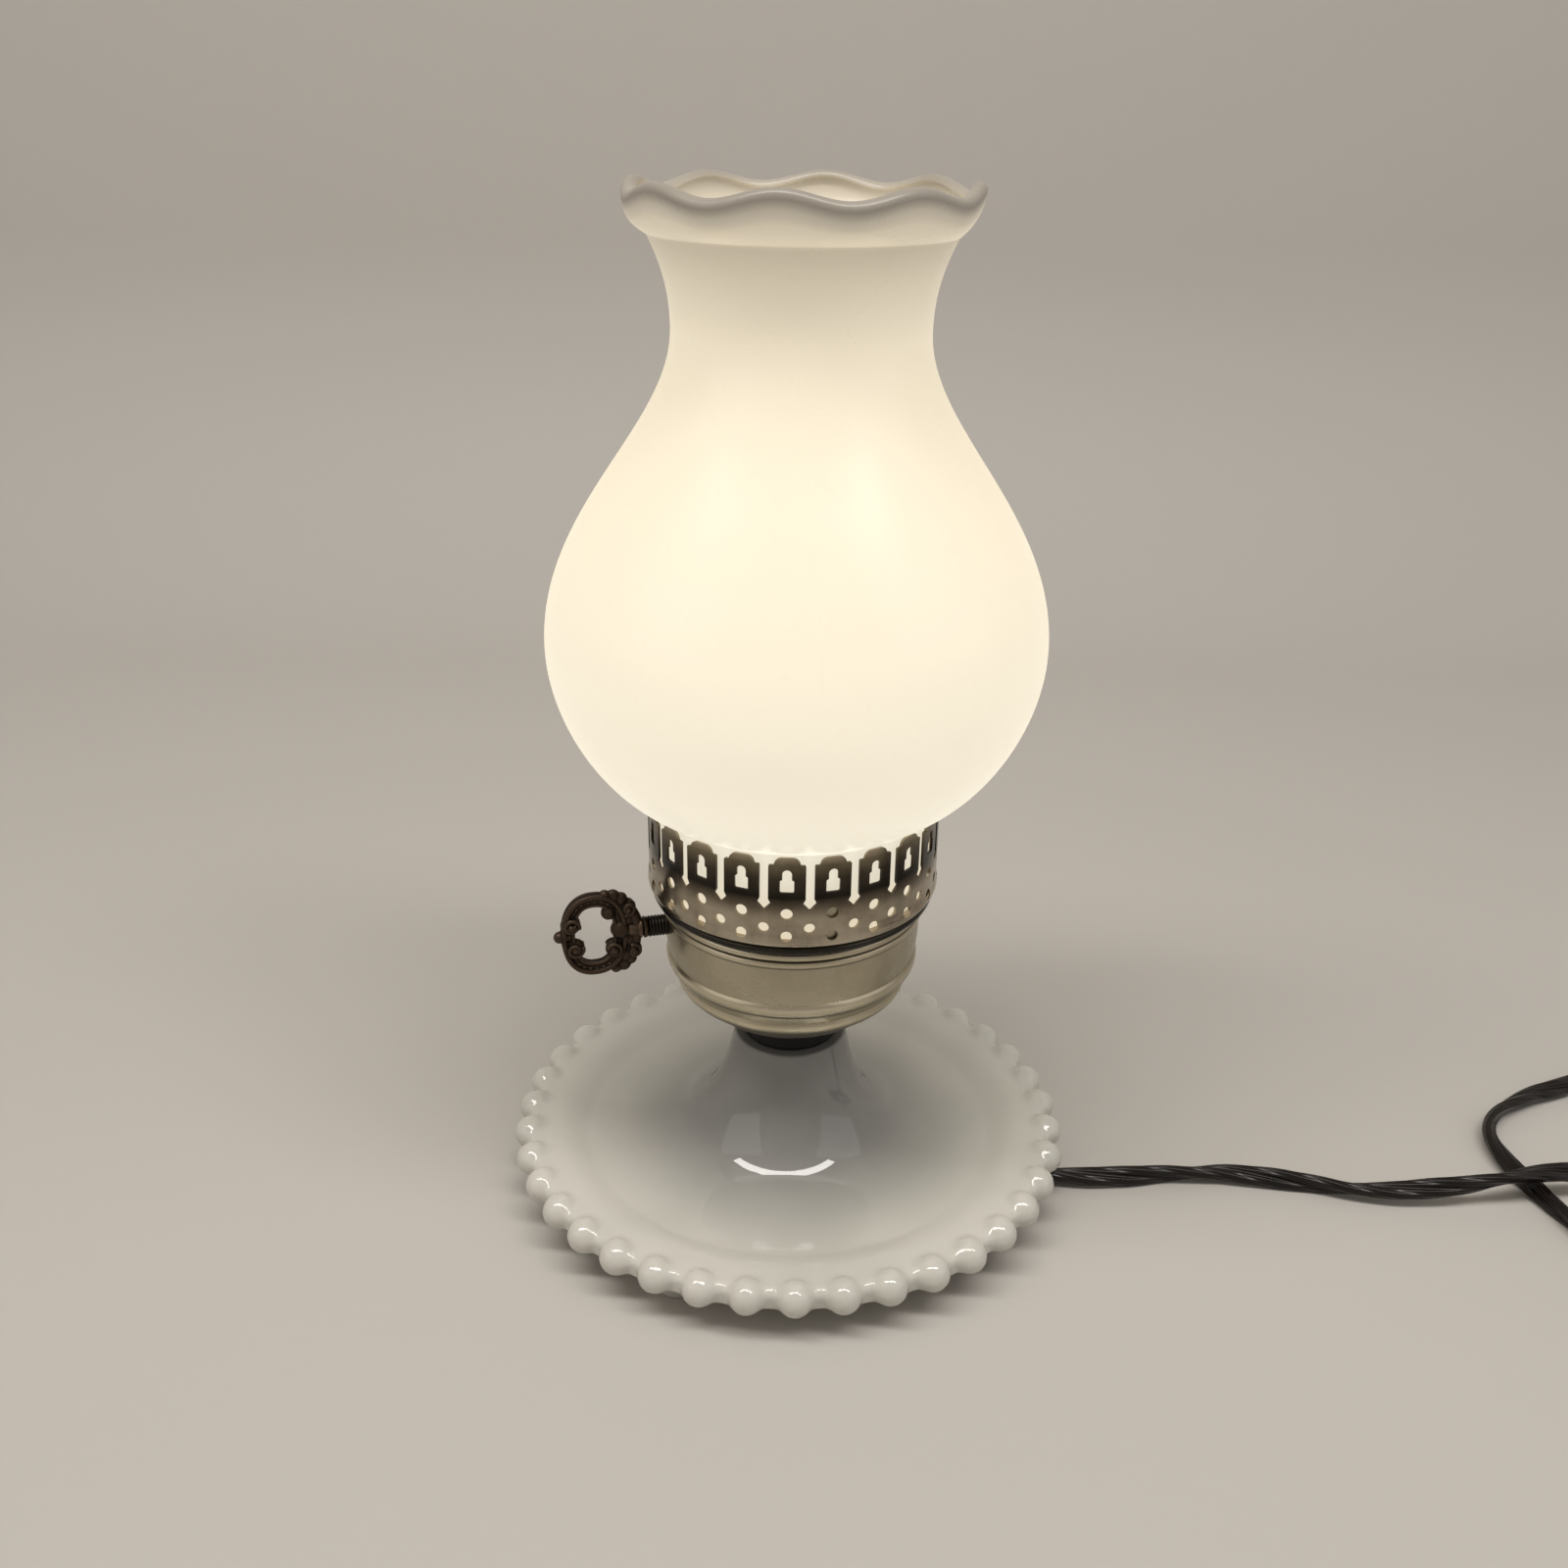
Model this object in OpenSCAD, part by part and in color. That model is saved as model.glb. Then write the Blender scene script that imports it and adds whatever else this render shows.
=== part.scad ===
// Small electric hurricane lamp: a pressed milk-glass base with a beaded rim, a
// plated burner cup and pierced gallery, a scroll-handled turn key, a screw socket
// with its bulb, and a satin opal chimney shade with a scalloped mouth.
// Millimetres, +Z up, the lamp's axis on Z and the table at z = 0.
// The front of the lamp faces -Y.

/* [Glass base] */
// Height of the plate's underside above the table
foot_h = 7; // [6.6:0.1:10]
// Glass thickness at the floor of the dish
plate_t = 4.5; // [3.5:0.1:6]
// Radius of the lowest ring of the dish
dish_floor_r = 52; // [46:0.5:58]
// Radius of the crease where the dish meets the flat rim
dish_edge_r = 67.5; // [64:0.5:70]
// Height of the flat rim above the dish floor
rim_rise = 4; // [3:0.1:5]
// Radius of the circle that the rim beads stand on
bead_circle_r = 77.7; // [75:0.1:84]
// Radius of one rim bead
bead_r = 4.5; // [3.8:0.1:5]
// Number of rim beads
bead_count = 38; // [32:2:42]
// How far the bead centres lie below the rim's top
bead_drop = 2.9; // [2:0.1:3.6]
// Angle of the first bead from the front
bead_phase = 1.5; // [0:0.1:9]
// Height of the neck's top above the dish floor
neck_h = 35; // [30:0.5:42]
// Radius of the neck's top
neck_top_r = 16.5; // [15:0.1:18]
// Thickness of the glass left solid at the neck's top
neck_cap_t = 8.5; // [6:0.1:10]
// Radius of the hollow just under the neck's solid top
hollow_r = 11.5; // [11:0.1:12]
// Number of moulded feet
foot_count = 3; // [3:1:5]
// Radius of one moulded foot
foot_r = 7; // [5:0.1:8]
// Radius of the circle that the feet stand on
foot_circle_r = 65.7; // [60:0.1:68]
// Angle of the first foot from the front
foot_phase = -27; // [-40:1:40]

/* [Stem hardware] */
// Outer radius of the threaded nipple
nipple_r = 5.15; // [4.8:0.05:5.6]
// Radius of the nipple's bore, which the cord passes through
nipple_bore_r = 3.4; // [3.3:0.05:3.8]
// Length of nipple that shows below the nut
nipple_tail = 2.5; // [1:0.1:4]
// Radius of the flat washer under the glass
lower_washer_r = 10.6; // [9.8:0.1:10.8]
// Thickness of the flat washer
lower_washer_t = 1.2; // [0.8:0.1:2]
// Distance across the flats of the hex nut
nut_flats = 15.8; // [14:0.1:17]
// Thickness of the hex nut
nut_t = 3.8; // [3:0.1:5]
// Radius of the dark spacer between neck and cup
spacer_r = 13.2; // [11:0.1:15]
// Height of the dark spacer
spacer_h = 7; // [5:0.1:9]
// Clearance of the nipple in the pieces it passes through
nipple_clear = 0.3; // [0.1:0.05:0.5]

/* [Burner cup] */
// Radius of the cup's flat foot
cup_foot_r = 15; // [14:0.1:17]
// Radius of the cup's upright wall
cup_r = 36.2; // [34:0.1:37]
// Height at which the bowl turns upright, above the cup's foot
cup_bowl_h = 28.5; // [25:0.1:30]
// Overall height of the cup
cup_h = 43; // [41:0.1:46]
// Sheet thickness of the cup
cup_wall = 0.8; // [0.6:0.05:1.2]
// Radius of the rolled rings round the cup
cup_ring_r = 0.7; // [0.4:0.05:1]
// Heights of the rolled rings above the cup's foot
cup_ring_heights = [12.8, 17.4, 21.4];
// Heights of the two lip rolls above the cup's foot
cup_lip_heights = [33.9, 36.8];

/* [Gallery] */
// How far the gallery's pierced wall stands outside the cup
gallery_step = 4.2; // [3.8:0.1:5]
// Sheet thickness of the gallery
gallery_wall = 0.7; // [0.5:0.05:1]
// Depth of the skirt that drops over the cup's lip
skirt_h = 3; // [2:0.1:4]
// Thickness of the ledge that the shade stands on
ledge_t = 0.8; // [0.6:0.05:1.2]
// Inner radius of that ledge
ledge_r = 33.5; // [32:0.1:35]
// Extra radius of the bulge at the gallery's foot
bulge_out = 0.6; // [0.2:0.05:1.2]
// Number of spring prongs
prong_count = 21; // [18:1:24]
// Angle of the first prong from the front
prong_phase = -2.3; // [-8:0.1:8]
// Height of the prongs' arched tops above the ledge
prong_top_h = 25.7; // [24:0.1:28]
// Height of the arch on top of a prong
prong_arch_h = 2.1; // [1.5:0.1:2.4]
// Width of the arch on top of a prong
prong_arch_w = 7; // [6:0.1:7.6]
// Width of the slot between two prongs
slot_w = 2.3; // [1.6:0.1:2.8]
// Width of the arrow head at a slot's foot
slot_tip_w = 3.6; // [3:0.1:4.2]
// Height of the arrow's point above the ledge
slot_tip_h = 10.6; // [10:0.1:11.6]
// Height at which the arrow head opens
slot_neck_h = 13.7; // [12.5:0.1:15]
// Width of a keyhole window
window_w = 3.7; // [3:0.1:4.4]
// Width of the keyhole window's arched top
window_top_w = 2.5; // [2:0.1:3]
// Height of a window's sill above the ledge
window_sill_h = 15.6; // [14.6:0.1:16.5]
// Height of a window from sill to arch
window_h = 6.7; // [5.5:0.1:7]
// Radii of the three rows of round holes, lowest row first
hole_r = [1.5, 1.45, 1.6];
// Heights of the three rows of round holes above the ledge
hole_h = [2.8, 5.2, 9.4];

/* [Key] */
// Direction that the key points in, about the lamp's axis
key_angle = 195; // [190:1:200]
// Height of the key's shaft above the cup's foot
key_h = 32.2; // [30:0.1:32.4]
// Radius of the key's shaft
shaft_r = 1.6; // [1.4:0.05:1.8]
// Outer radius of the threaded bushing in the cup's wall
bushing_r = 3; // [2.6:0.05:3.2]
// Length of the bushing outside the cup
bushing_out = 5.6; // [4:0.1:7]
// Running clearance of the shaft in its bearings
shaft_clear = 0.05; // [0.03:0.01:0.08]
// Length of the scroll handle from collar to tip
bow_len = 25.2; // [22:0.1:28]
// Height of the handle's oval ring, centre line to centre line
bow_ring_h = 21; // [19:0.1:23]
// Width of the handle's oval ring, centre line to centre line
bow_ring_w = 13.6; // [12.6:0.1:15]
// Radius of the ring's round section
bow_wire_r = 2.1; // [1.7:0.05:2.4]

/* [Socket and bulb] */
// Radius of the socket's insulating body
socket_r = 16.5; // [15.6:0.1:17.5]
// Height of the insulating body
socket_h = 29; // [28:0.1:31]
// Height of the socket cap's hub on the nipple
hub_h = 11.7; // [10:0.1:12]
// Radius of that hub
hub_r = 8; // [7:0.1:9]
// Sheet thickness of the socket cap
cap_wall = 0.8; // [0.6:0.05:1.2]
// Height of the socket cap's wall round the body
cap_h = 10; // [8:0.1:12]
// Inner radius of the screw shell
shell_r = 13.45; // [13.3:0.05:13.6]
// Depth of the screw shell
shell_h = 22; // [20:0.1:24]
// Sheet thickness of the screw shell
shell_t = 0.5; // [0.4:0.05:0.8]
// Radius of the bulb's screw cap
bulb_cap_r = 13.1; // [12.9:0.05:13.15]
// Height of the bulb's screw cap above its tip
bulb_cap_h = 25; // [23:0.1:27]
// Radius of the bulb's globe
bulb_r = 30; // [24:0.5:31]
// Overall length of the bulb
bulb_len = 110; // [100:1:112]

/* [Glass shade] */
// Play between the shade's straight collar and the prongs round it
collar_play = 1.7; // [1.4:0.1:2.2]
// Height of the straight collar
collar_h = 24; // [22:0.1:25.5]
// How far the shade's widest ring stands outside its collar
belly_out = 28.1; // [22:0.1:34]
// Height of the widest ring above the shade's foot
belly_h = 71; // [66:0.5:76]
// Outer radius of the throat
throat_r = 32; // [30:0.1:36]
// Height of the throat above the widest ring
throat_rise = 79.5; // [72:0.5:88]
// Outer radius of the mouth, at the middle of its lip
mouth_r = 41.2; // [39:0.1:45]
// Height of the lip's middle above the throat
mouth_rise = 30.6; // [27:0.1:34]
// Glass thickness of the shade
shade_t = 2.6; // [2:0.1:3]
// Radius of the rounded lip
lip_r = 1.9; // [1.4:0.05:2.2]
// Number of scallops round the mouth
scallop_count = 8; // [6:1:12]
// Height of a scallop from trough to crest
scallop_h = 2.7; // [1:0.1:5]
// Angle of the first scallop's crest from the front
scallop_phase = 36.8; // [0:0.1:45]
// Gap between the shade and the ledge it stands on
seat_gap = 0.1; // [0.05:0.05:0.3]

/* [Cord and plug] */
// Diameter of the cord's round envelope
cord_d = 5.2; // [4.8:0.1:5.6]
// Radius of one insulated lead
lead_r = 1.2; // [0.9:0.05:1.3]
// Radius of the coil at the middle of its turns
coil_r = 31; // [30:0.5:34]
// Turns in each layer of the coil
coil_turns = 3; // [2:1:4]
// Gap between neighbouring turns
coil_gap = 0.6; // [0.5:0.05:1]
// Thickness of the strap round the coil
tie_t = 1; // [0.8:0.1:1.5]
// Width of the strap round the coil
tie_w = 6; // [4:0.5:9]
// Length of the plug's moulded body
plug_len = 32; // [26:0.5:38]
// Width of the plug's moulded body
plug_w = 25; // [21:0.5:28]
// Height of the plug's moulded body
plug_t = 16; // [13:0.5:18]
// Length of a plug blade
blade_len = 17; // [15:0.5:19]
// Distance between the two blades
blade_gap = 12.7; // [12:0.1:13.4]

/* [Hidden] */

$fn = 96;
bite = 0.6;

// Heights of the stack, from the table up
floor_z = foot_h + plate_t;
rim_z = floor_z + rim_rise;
bead_z = rim_z - bead_drop;
neck_z = floor_z + neck_h;
hollow_z = neck_z - neck_cap_t;
washer_z = hollow_z - lower_washer_t;
nut_z = washer_z - nut_t;
nipple_z = nut_z - nipple_tail;
cup_z = neck_z + spacer_h;
cup_floor_z = cup_z + cup_wall;
cup_top_z = cup_z + cup_h;
key_z = cup_z + key_h;
seat_fit = 0.1;
ledge_z = cup_top_z + seat_fit + ledge_t;
shade_z = ledge_z + seat_gap;
socket_z = cup_floor_z + hub_h;
socket_top_z = socket_z + socket_h;
shell_z = socket_top_z;
contact_t = 0.8;
bulb_gap = 0.4;
bulb_z = socket_top_z + contact_t + bulb_gap;
nipple_top_z = socket_z - cap_wall;
hole_pass_r = nipple_r + nipple_clear;

// Rim of the base
rim_out_r = bead_circle_r + 1;
rim_round = 3;
rim_under_z = bead_z - bead_r + 1.2;
under_edge_r = dish_edge_r + 4;
hollow_foot_r = dish_floor_r - 5;

// Gallery
gallery_r = cup_r + gallery_step;
skirt_r = cup_r + 0.9;
gallery_in_r = gallery_r - gallery_wall;
skirt_z = ledge_z - ledge_t - skirt_h;
prong_pitch = 360 / prong_count;
gallery_top_z = ledge_z + prong_top_h;
strap_t = 0.6;
strap_w = 5.4;
strap_fit = 0.1;
strap_h = 11.4;

// Key: distances along its shaft from the lamp's axis
wall_at_key_r = cup_r + 0.1;
bushing_end = wall_at_key_r + bushing_out;
collar_gap = 2;
bow_start = bushing_end + collar_gap;
bow_tip = bow_start + bow_len;
bow_knob_r = 2.3;
ring_mid = bow_tip - 2 * bow_knob_r + 0.7 - bow_wire_r + 0.6 - bow_ring_w / 2;
ring_end_z = (bow_ring_h - bow_ring_w) / 2;

// Switch inside the socket body
rotor_r = 4.6;
rotor_len = 7;
cavity_r = rotor_r + 0.5;
cavity_len = rotor_len + 1.2;
leaf_t = 0.5;
leaf_gap = 0.3;
leaf_w = 4;
leaf_stand = 1.2;
shaft_in = -rotor_len / 2;
flat_u = socket_r - 4;
screw_z = socket_z + 10;
screw_head_r = 3.1;
screw_head_t = 1.5;
screw_shank_r = 1.4;
screw_len = 6;
wire_slot_w = 4;
lead_bend_r = 2.4;
lead_off = 1.35;
lead_level_z = socket_z + lead_r + 0.9;
lead_out_u = flat_u + lead_r + 0.2;
lead_start_z = 36;

// Shade
collar_r = gallery_in_r - collar_play;
belly_r = collar_r + belly_out;
throat_h = belly_h + throat_rise;
mouth_h = throat_h + mouth_rise;
lower_pull_out = 17;
lower_pull_up = 10.2;
belly_pull_down = 17.5;
belly_pull_up = 34;
throat_pull_down = 24;
throat_pull_up = 10;

// Bulb
bulb_neck_r = bulb_cap_r - 0.7;
bulb_glass_t = 0.8;
bulb_top_z = bulb_z + bulb_len;
bulb_mid_z = bulb_top_z - bulb_r;
bulb_seam_z = bulb_z + bulb_cap_h + 0.02;
stem_foot_r = 7.6;
stem_top_r = 2.4;
stem_rise = 22;
filament_half = 9;
filament_r = 0.5;
support_r = 0.4;
support_half = 1.2;

// Cord: a route by hand in the table's frame, then a coil and its plug
cord_r = cord_d / 2;
coil_pitch = cord_d + coil_gap;
coil_x = 288;
coil_y = -84;
coil_out_r = coil_r + coil_turns * coil_pitch / 2;
coil_in_r = coil_r - coil_turns * coil_pitch / 2;
coil_z = tie_t + 0.4 + cord_r;
coil_dip = 1.6;
coil_loop_rings = 24;
coil_entry = [coil_x - coil_out_r, coil_y + cord_d, coil_z];
coil_exit = [coil_x + coil_out_r, coil_y + cord_d, coil_z + coil_pitch];
tail_len = 40;
tie_clear = 0.4;
cord_route = [
    [0, 0, 36], [0, 0, 33], [0, 0, 29.5], [2, -0.3, 19], [7.5, -1.2, 10.6], [15.8, -2.5, 5],
    [26, -4.2, 3], [54, -8.8, 2.8], [81.5, -13.2, 2.8],
    [100, -13.4, 2.8], [115, -11.8, 2.8], [130, -11, 2.8], [143, -12.8, 2.8],
    [156, -15.4, 2.8], [168, -18.2, 3.4], [181, -20.2, 4.6], [198, -20.8, 7],
    [212, -19.2, 8.6], [224, -17, 9], [235, -15.6, 8.4], [251, -15.2, 6],
    [268, -14, 3.8], [285, -9, 2.8], [298, 2, 2.8], [304, 17, 2.8], [302, 33, 2.8],
    [292, 46, 2.8], [276, 48.5, 2.8], [257, 37, 2.8], [241, 30.4, 2.8],
    [227.5, 21.5, 2.8], [220.5, 11, 2.8], [219.8, -1.5, 2.8], [222.5, -14, 2.8],
    [227.4, -29.7, 2.8], [234.5, -46, 2.8], [242.4, -61, 3.2]
];
cord_points = concat(cord_route,
    [for (k = [2, 1, 0]) coil_entry + [0, k * 0.75 * cord_d, 0]]);

// Point on a cubic curve, and the curve's points from a to b
function bezier_at(p, t) =
    pow(1 - t, 3) * p[0] + 3 * t * pow(1 - t, 2) * p[1]
    + 3 * t * t * (1 - t) * p[2] + pow(t, 3) * p[3];
function bezier(p, n, a = 0, b = 1) = [for (i = [0:n]) bezier_at(p, a + (b - a) * i / n)];
// A curve's points moved sideways, to the left of its direction
function inset(pts, d) = [
    for (i = [0:len(pts) - 1])
        let (a = pts[max(i - 1, 0)])
        let (b = pts[min(i + 1, len(pts) - 1)])
        let (t = (b - a) / norm(b - a))
        pts[i] + d * [-t[1], t[0]]
];
function reversed(v) = [for (i = [len(v) - 1:-1:0]) v[i]];
function tail(v) = [for (i = [1:len(v) - 1]) v[i]];
function total(v, i = 0) = i < len(v) ? v[i] + total(v, i + 1) : 0;
function path_length(p) = total([for (i = [1:len(p) - 1]) norm(p[i] - p[i - 1])]);

// A place on the lamp at an angle from the front
module from_front(a, r = 0, z = 0) {
    rotate([0, 0, a - 90])
        translate([r, 0, z])
            children();
}

// The key's own frame: X along the shaft, outwards, and Z up
module at_key() {
    translate([0, 0, key_z])
        rotate([0, 0, key_angle])
            children();
}

// A round bar along the key's shaft, between two distances from the axis
module key_bar(r, from, to) {
    translate([from, 0, 0])
        rotate([0, 90, 0])
            cylinder(r = r, h = to - from);
}

// A ring of a given bore, thickness and height
module ring(outer, inner, h) {
    difference() {
        cylinder(r = outer, h = h);
        translate([0, 0, -1])
            cylinder(r = inner, h = h + 2);
    }
}

// Glass base

neck_curve = bezier([[neck_top_r, neck_z], [neck_top_r + 5.5, floor_z + 6.5],
    [neck_top_r + 13.5, floor_z], [dish_floor_r, floor_z]], 14);
dish_curve = bezier([[dish_floor_r, floor_z], [dish_floor_r + 7, floor_z],
    [dish_edge_r - 4, rim_z - 2.6], [dish_edge_r, rim_z]], 6);
hollow_curve = bezier([[hollow_r, hollow_z], [hollow_r + 4, foot_h + 9],
    [hollow_r + 13, foot_h], [hollow_foot_r, foot_h]], 12);

module glass_base_section() {
    difference() {
        union() {
            polygon(concat(
                neck_curve, tail(dish_curve),
                [[rim_out_r - rim_round, rim_z], [rim_out_r - rim_round, rim_under_z]],
                [[under_edge_r, rim_under_z], [dish_edge_r - 2, foot_h]],
                reversed(hollow_curve), [[hole_pass_r, hollow_z], [hole_pass_r, neck_z]]
            ));
            translate([rim_out_r - rim_round, rim_z - rim_round])
                circle(r = rim_round);
            translate([rim_out_r - rim_round - bite, rim_under_z])
                square([rim_round + bite, rim_z - rim_round - rim_under_z]);
        }
    }
}

module glass_base() {
    color("ivory") {
        rotate_extrude()
            glass_base_section();
        for (i = [0:bead_count - 1])
            from_front(bead_phase + i * 360 / bead_count, bead_circle_r, bead_z)
                sphere(r = bead_r);
        for (i = [0:foot_count - 1])
            from_front(foot_phase + i * 360 / foot_count, foot_circle_r)
                cylinder(r1 = foot_r - 0.8, r2 = foot_r, h = rim_under_z + bite);
    }
}

// Stem hardware

module lower_washer() {
    color("silver")
        translate([0, 0, washer_z])
            ring(lower_washer_r, hole_pass_r, lower_washer_t);
}

module hex_nut() {
    color("goldenrod")
        translate([0, 0, nut_z])
            difference() {
                cylinder(d = nut_flats / cos(30), h = nut_t, $fn = 6);
                translate([0, 0, -1])
                    cylinder(r = nipple_r, h = nut_t + 2);
            }
}

module threaded_nipple() {
    color("goldenrod")
        translate([0, 0, nipple_z])
            ring(nipple_r, nipple_bore_r, nipple_top_z - nipple_z);
}

module neck_spacer() {
    color("black")
        translate([0, 0, neck_z])
            rotate_extrude()
                difference() {
                    union() {
                        translate([hole_pass_r, 0])
                            square([spacer_r - hole_pass_r - 1, spacer_h]);
                        translate([hole_pass_r, 1])
                            square([spacer_r - hole_pass_r, spacer_h - 2]);
                        for (z = [1, spacer_h - 1])
                            translate([spacer_r - 1, z])
                                circle(r = 1);
                    }
                }
}

// Burner cup

bowl_curve = bezier([[cup_foot_r, 0], [cup_r - 9.2, 3.5],
    [cup_r - 1.2, cup_bowl_h - 16], [cup_r, cup_bowl_h]], 16);
function bowl_radius(z) = lookup(z, [for (p = bowl_curve) [p[1], p[0]]]);

module cup_section() {
    outer = concat(bowl_curve, [[cup_r, cup_h]]);
    polygon(concat([[hole_pass_r, 0]], outer, reversed(inset(outer, cup_wall)),
        [[hole_pass_r, cup_wall]]));
    for (z = cup_ring_heights)
        translate([bowl_radius(z) - cup_wall / 2, z])
            circle(r = cup_ring_r);
    for (z = cup_lip_heights)
        translate([cup_r - cup_wall / 2, z])
            circle(r = cup_ring_r);
}

module burner_cup() {
    color("wheat")
        difference() {
            translate([0, 0, cup_z])
                rotate_extrude()
                    cup_section();
            at_key()
                key_bar(bushing_r + shaft_clear, cup_r - 6, cup_r + 6);
        }
}

// Gallery

module gallery_section() {
    bulge = bezier([[skirt_r + 1.4, skirt_z + 2.6], [gallery_r + bulge_out, skirt_z + 2.6],
        [gallery_r + bulge_out, ledge_z + 1.4], [gallery_r, ledge_z + 3.4]], 8);
    polygon(concat(
        [[skirt_r, skirt_z], [skirt_r + 1.4, skirt_z]], bulge,
        [[gallery_r, gallery_top_z], [gallery_in_r, gallery_top_z], [gallery_in_r, ledge_z]],
        [[ledge_r, ledge_z], [ledge_r, ledge_z - ledge_t], [skirt_r, ledge_z - ledge_t]]
    ));
    translate([skirt_r + 1.2, skirt_z + 1.2])
        circle(r = 1.2);
}

// Outline of the gap between two prongs: an arrow head and slot below, and above them
// the shoulders and rounded corners of the prongs on both sides
module slot_outline() {
    notch = prong_pitch * PI / 180 * gallery_r - prong_arch_w;
    corner = prong_arch_h;
    corner_z = prong_top_h - corner + 0.15;
    right = concat(
        [[slot_tip_w / 2, slot_neck_h - 1.2], [slot_w / 2, slot_neck_h]],
        [[slot_w / 2, prong_top_h - prong_arch_h], [notch / 2, prong_top_h - prong_arch_h]],
        [for (a = [180:-15:105]) [notch / 2 + corner + corner * cos(a), corner_z + corner * sin(a)]],
        [[notch / 2 + corner * 0.8, prong_top_h + 3]]
    );
    polygon(concat([[0, slot_tip_h]], right, [for (p = reversed(right)) [-p[0], p[1]]]));
}

// Keyhole window in a prong
module window_outline() {
    arch = window_top_w / 2;
    body = window_h * 0.56;
    translate([-window_w / 2, window_sill_h])
        square([window_w, body]);
    translate([-arch, window_sill_h])
        square([window_top_w, window_h - arch]);
    translate([0, window_sill_h + window_h - arch])
        circle(r = arch);
}

// An outline of width and height, pushed out through the gallery's wall
module through_wall(a) {
    from_front(a, gallery_r - 6, ledge_z)
        rotate([90, 0, 90])
            linear_extrude(height = 12)
                children();
}

module gallery() {
    color("dimgray")
        difference() {
            rotate_extrude()
                gallery_section();
            for (i = [0:prong_count - 1]) {
                a = prong_phase + i * prong_pitch;
                through_wall(a + prong_pitch / 2)
                    slot_outline();
                through_wall(a)
                    window_outline();
                for (row = [0:2])
                    from_front(a + (row == 1 ? prong_pitch / 2 : 0), gallery_r - 6,
                        ledge_z + hole_h[row])
                        rotate([0, 90, 0])
                            cylinder(r = hole_r[row], h = 12, $fn = 32);
            }
        }
}

// Strap inside the gallery that closes one column of holes
module gallery_strap() {
    color("gray")
        intersection() {
            translate([0, 0, ledge_z])
                ring(gallery_in_r - strap_fit, gallery_in_r - strap_fit - strap_t, strap_h);
            from_front(prong_phase + prong_pitch, gallery_in_r - 8, ledge_z + strap_h / 2)
                cube([20, strap_w, strap_h + 2], center = true);
        }
}

// Key and switch

module key_bushing() {
    color("saddlebrown")
        at_key()
            difference() {
                union() {
                    key_bar(bushing_r, cup_r - 3, bushing_end - 0.4);
                    key_bar(bushing_r - 0.5, bushing_end - 0.5, bushing_end);
                }
                key_bar(shaft_r + shaft_clear, cup_r - 4, bushing_end + 1);
            }
}

module key_shaft() {
    color("saddlebrown")
        at_key()
            key_bar(shaft_r, rotor_len / 2, bow_start);
}

// One half of the handle's oval ring: a bend at the end and half of both sides
module bow_half() {
    translate([ring_mid, 0, ring_end_z])
        rotate([90, 0, 0])
            rotate_extrude(angle = 180)
                translate([bow_ring_w / 2, 0])
                    circle(r = bow_wire_r, $fn = 48);
    for (side = [-1, 1])
        translate([ring_mid + side * bow_ring_w / 2, 0, -0.01])
            cylinder(r = bow_wire_r, h = ring_end_z + 0.01, $fn = 48);
}

// A scroll: a small closed curl of wire with a bead at its eye
module scroll(x, z, curl_r, wire_r) {
    translate([x, 0, z])
        rotate([90, 0, 0]) {
            rotate_extrude()
                translate([curl_r, 0])
                    circle(r = wire_r, $fn = 32);
            sphere(r = curl_r, $fn = 32);
        }
}

module key_bow() {
    inner_x = ring_mid - bow_ring_w / 2;
    outer_x = ring_mid + bow_ring_w / 2;
    color("saddlebrown")
        at_key() {
            bow_half();
            mirror([0, 0, 1])
                bow_half();
            key_bar(2.7, bow_start, bow_start + 1.6);
            key_bar(1.9, bow_start + 1.5, inner_x);
            translate([bow_tip - bow_knob_r, 0, 0])
                sphere(r = bow_knob_r, $fn = 32);
            for (side = [-1, 1]) {
                scroll(outer_x - 1.2, side * 3.1, 1.5, 0.9);
                scroll(inner_x - 0.4, side * 5.2, 1.8, 1);
                scroll(inner_x + 1.3, side * 2, 1.2, 0.8);
                translate([inner_x - 0.2, 0, side * 8.9])
                    sphere(r = 2.2, $fn = 32);
                translate([ring_mid - 3.2, 0, side * (bow_ring_h / 2 + 0.5)])
                    sphere(r = 2.3, $fn = 32);
                translate([outer_x + 1, 0, side * 2.7])
                    sphere(r = 1.7, $fn = 32);
            }
        }
}

// Four-lobed cam on the shaft's inner end
module switch_rotor() {
    color("darkgoldenrod")
        at_key()
            intersection() {
                translate([-rotor_len / 2, 0, 0])
                    rotate([0, 90, 0])
                        cylinder(r = rotor_r, h = rotor_len);
                cube([rotor_len + 2, rotor_r * 1.7, rotor_r * 1.7], center = true);
            }
}

leaf_top = -rotor_r - leaf_gap;
leaf_foot = leaf_top - leaf_t - leaf_stand;

// Spring leaf under the cam, on two feet
module contact_leaf() {
    color("gold")
        at_key()
            translate([-rotor_len / 2, -leaf_w / 2, leaf_foot]) {
                translate([0, 0, leaf_stand])
                    cube([rotor_len, leaf_w, leaf_t]);
                for (x = [0, rotor_len - leaf_t])
                    translate([x, 0, 0])
                        cube([leaf_t, leaf_w, leaf_stand + leaf_t]);
            }
}

// Socket

module socket_cap() {
    wall_r = socket_r + seat_fit;
    color("goldenrod")
        difference() {
            union() {
                translate([0, 0, cup_floor_z])
                    cylinder(r = hub_r, h = hub_h);
                translate([0, 0, socket_z - cap_wall])
                    cylinder(r = wall_r + cap_wall, h = cap_h + cap_wall);
            }
            translate([0, 0, socket_z])
                cylinder(r = wall_r, h = cap_h + 1);
            translate([0, 0, cup_floor_z - 1])
                cylinder(r = nipple_r, h = nipple_top_z - cup_floor_z + 1);
            translate([0, 0, nipple_top_z - 1])
                cylinder(r = nipple_bore_r, h = hub_h);
        }
}

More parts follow.
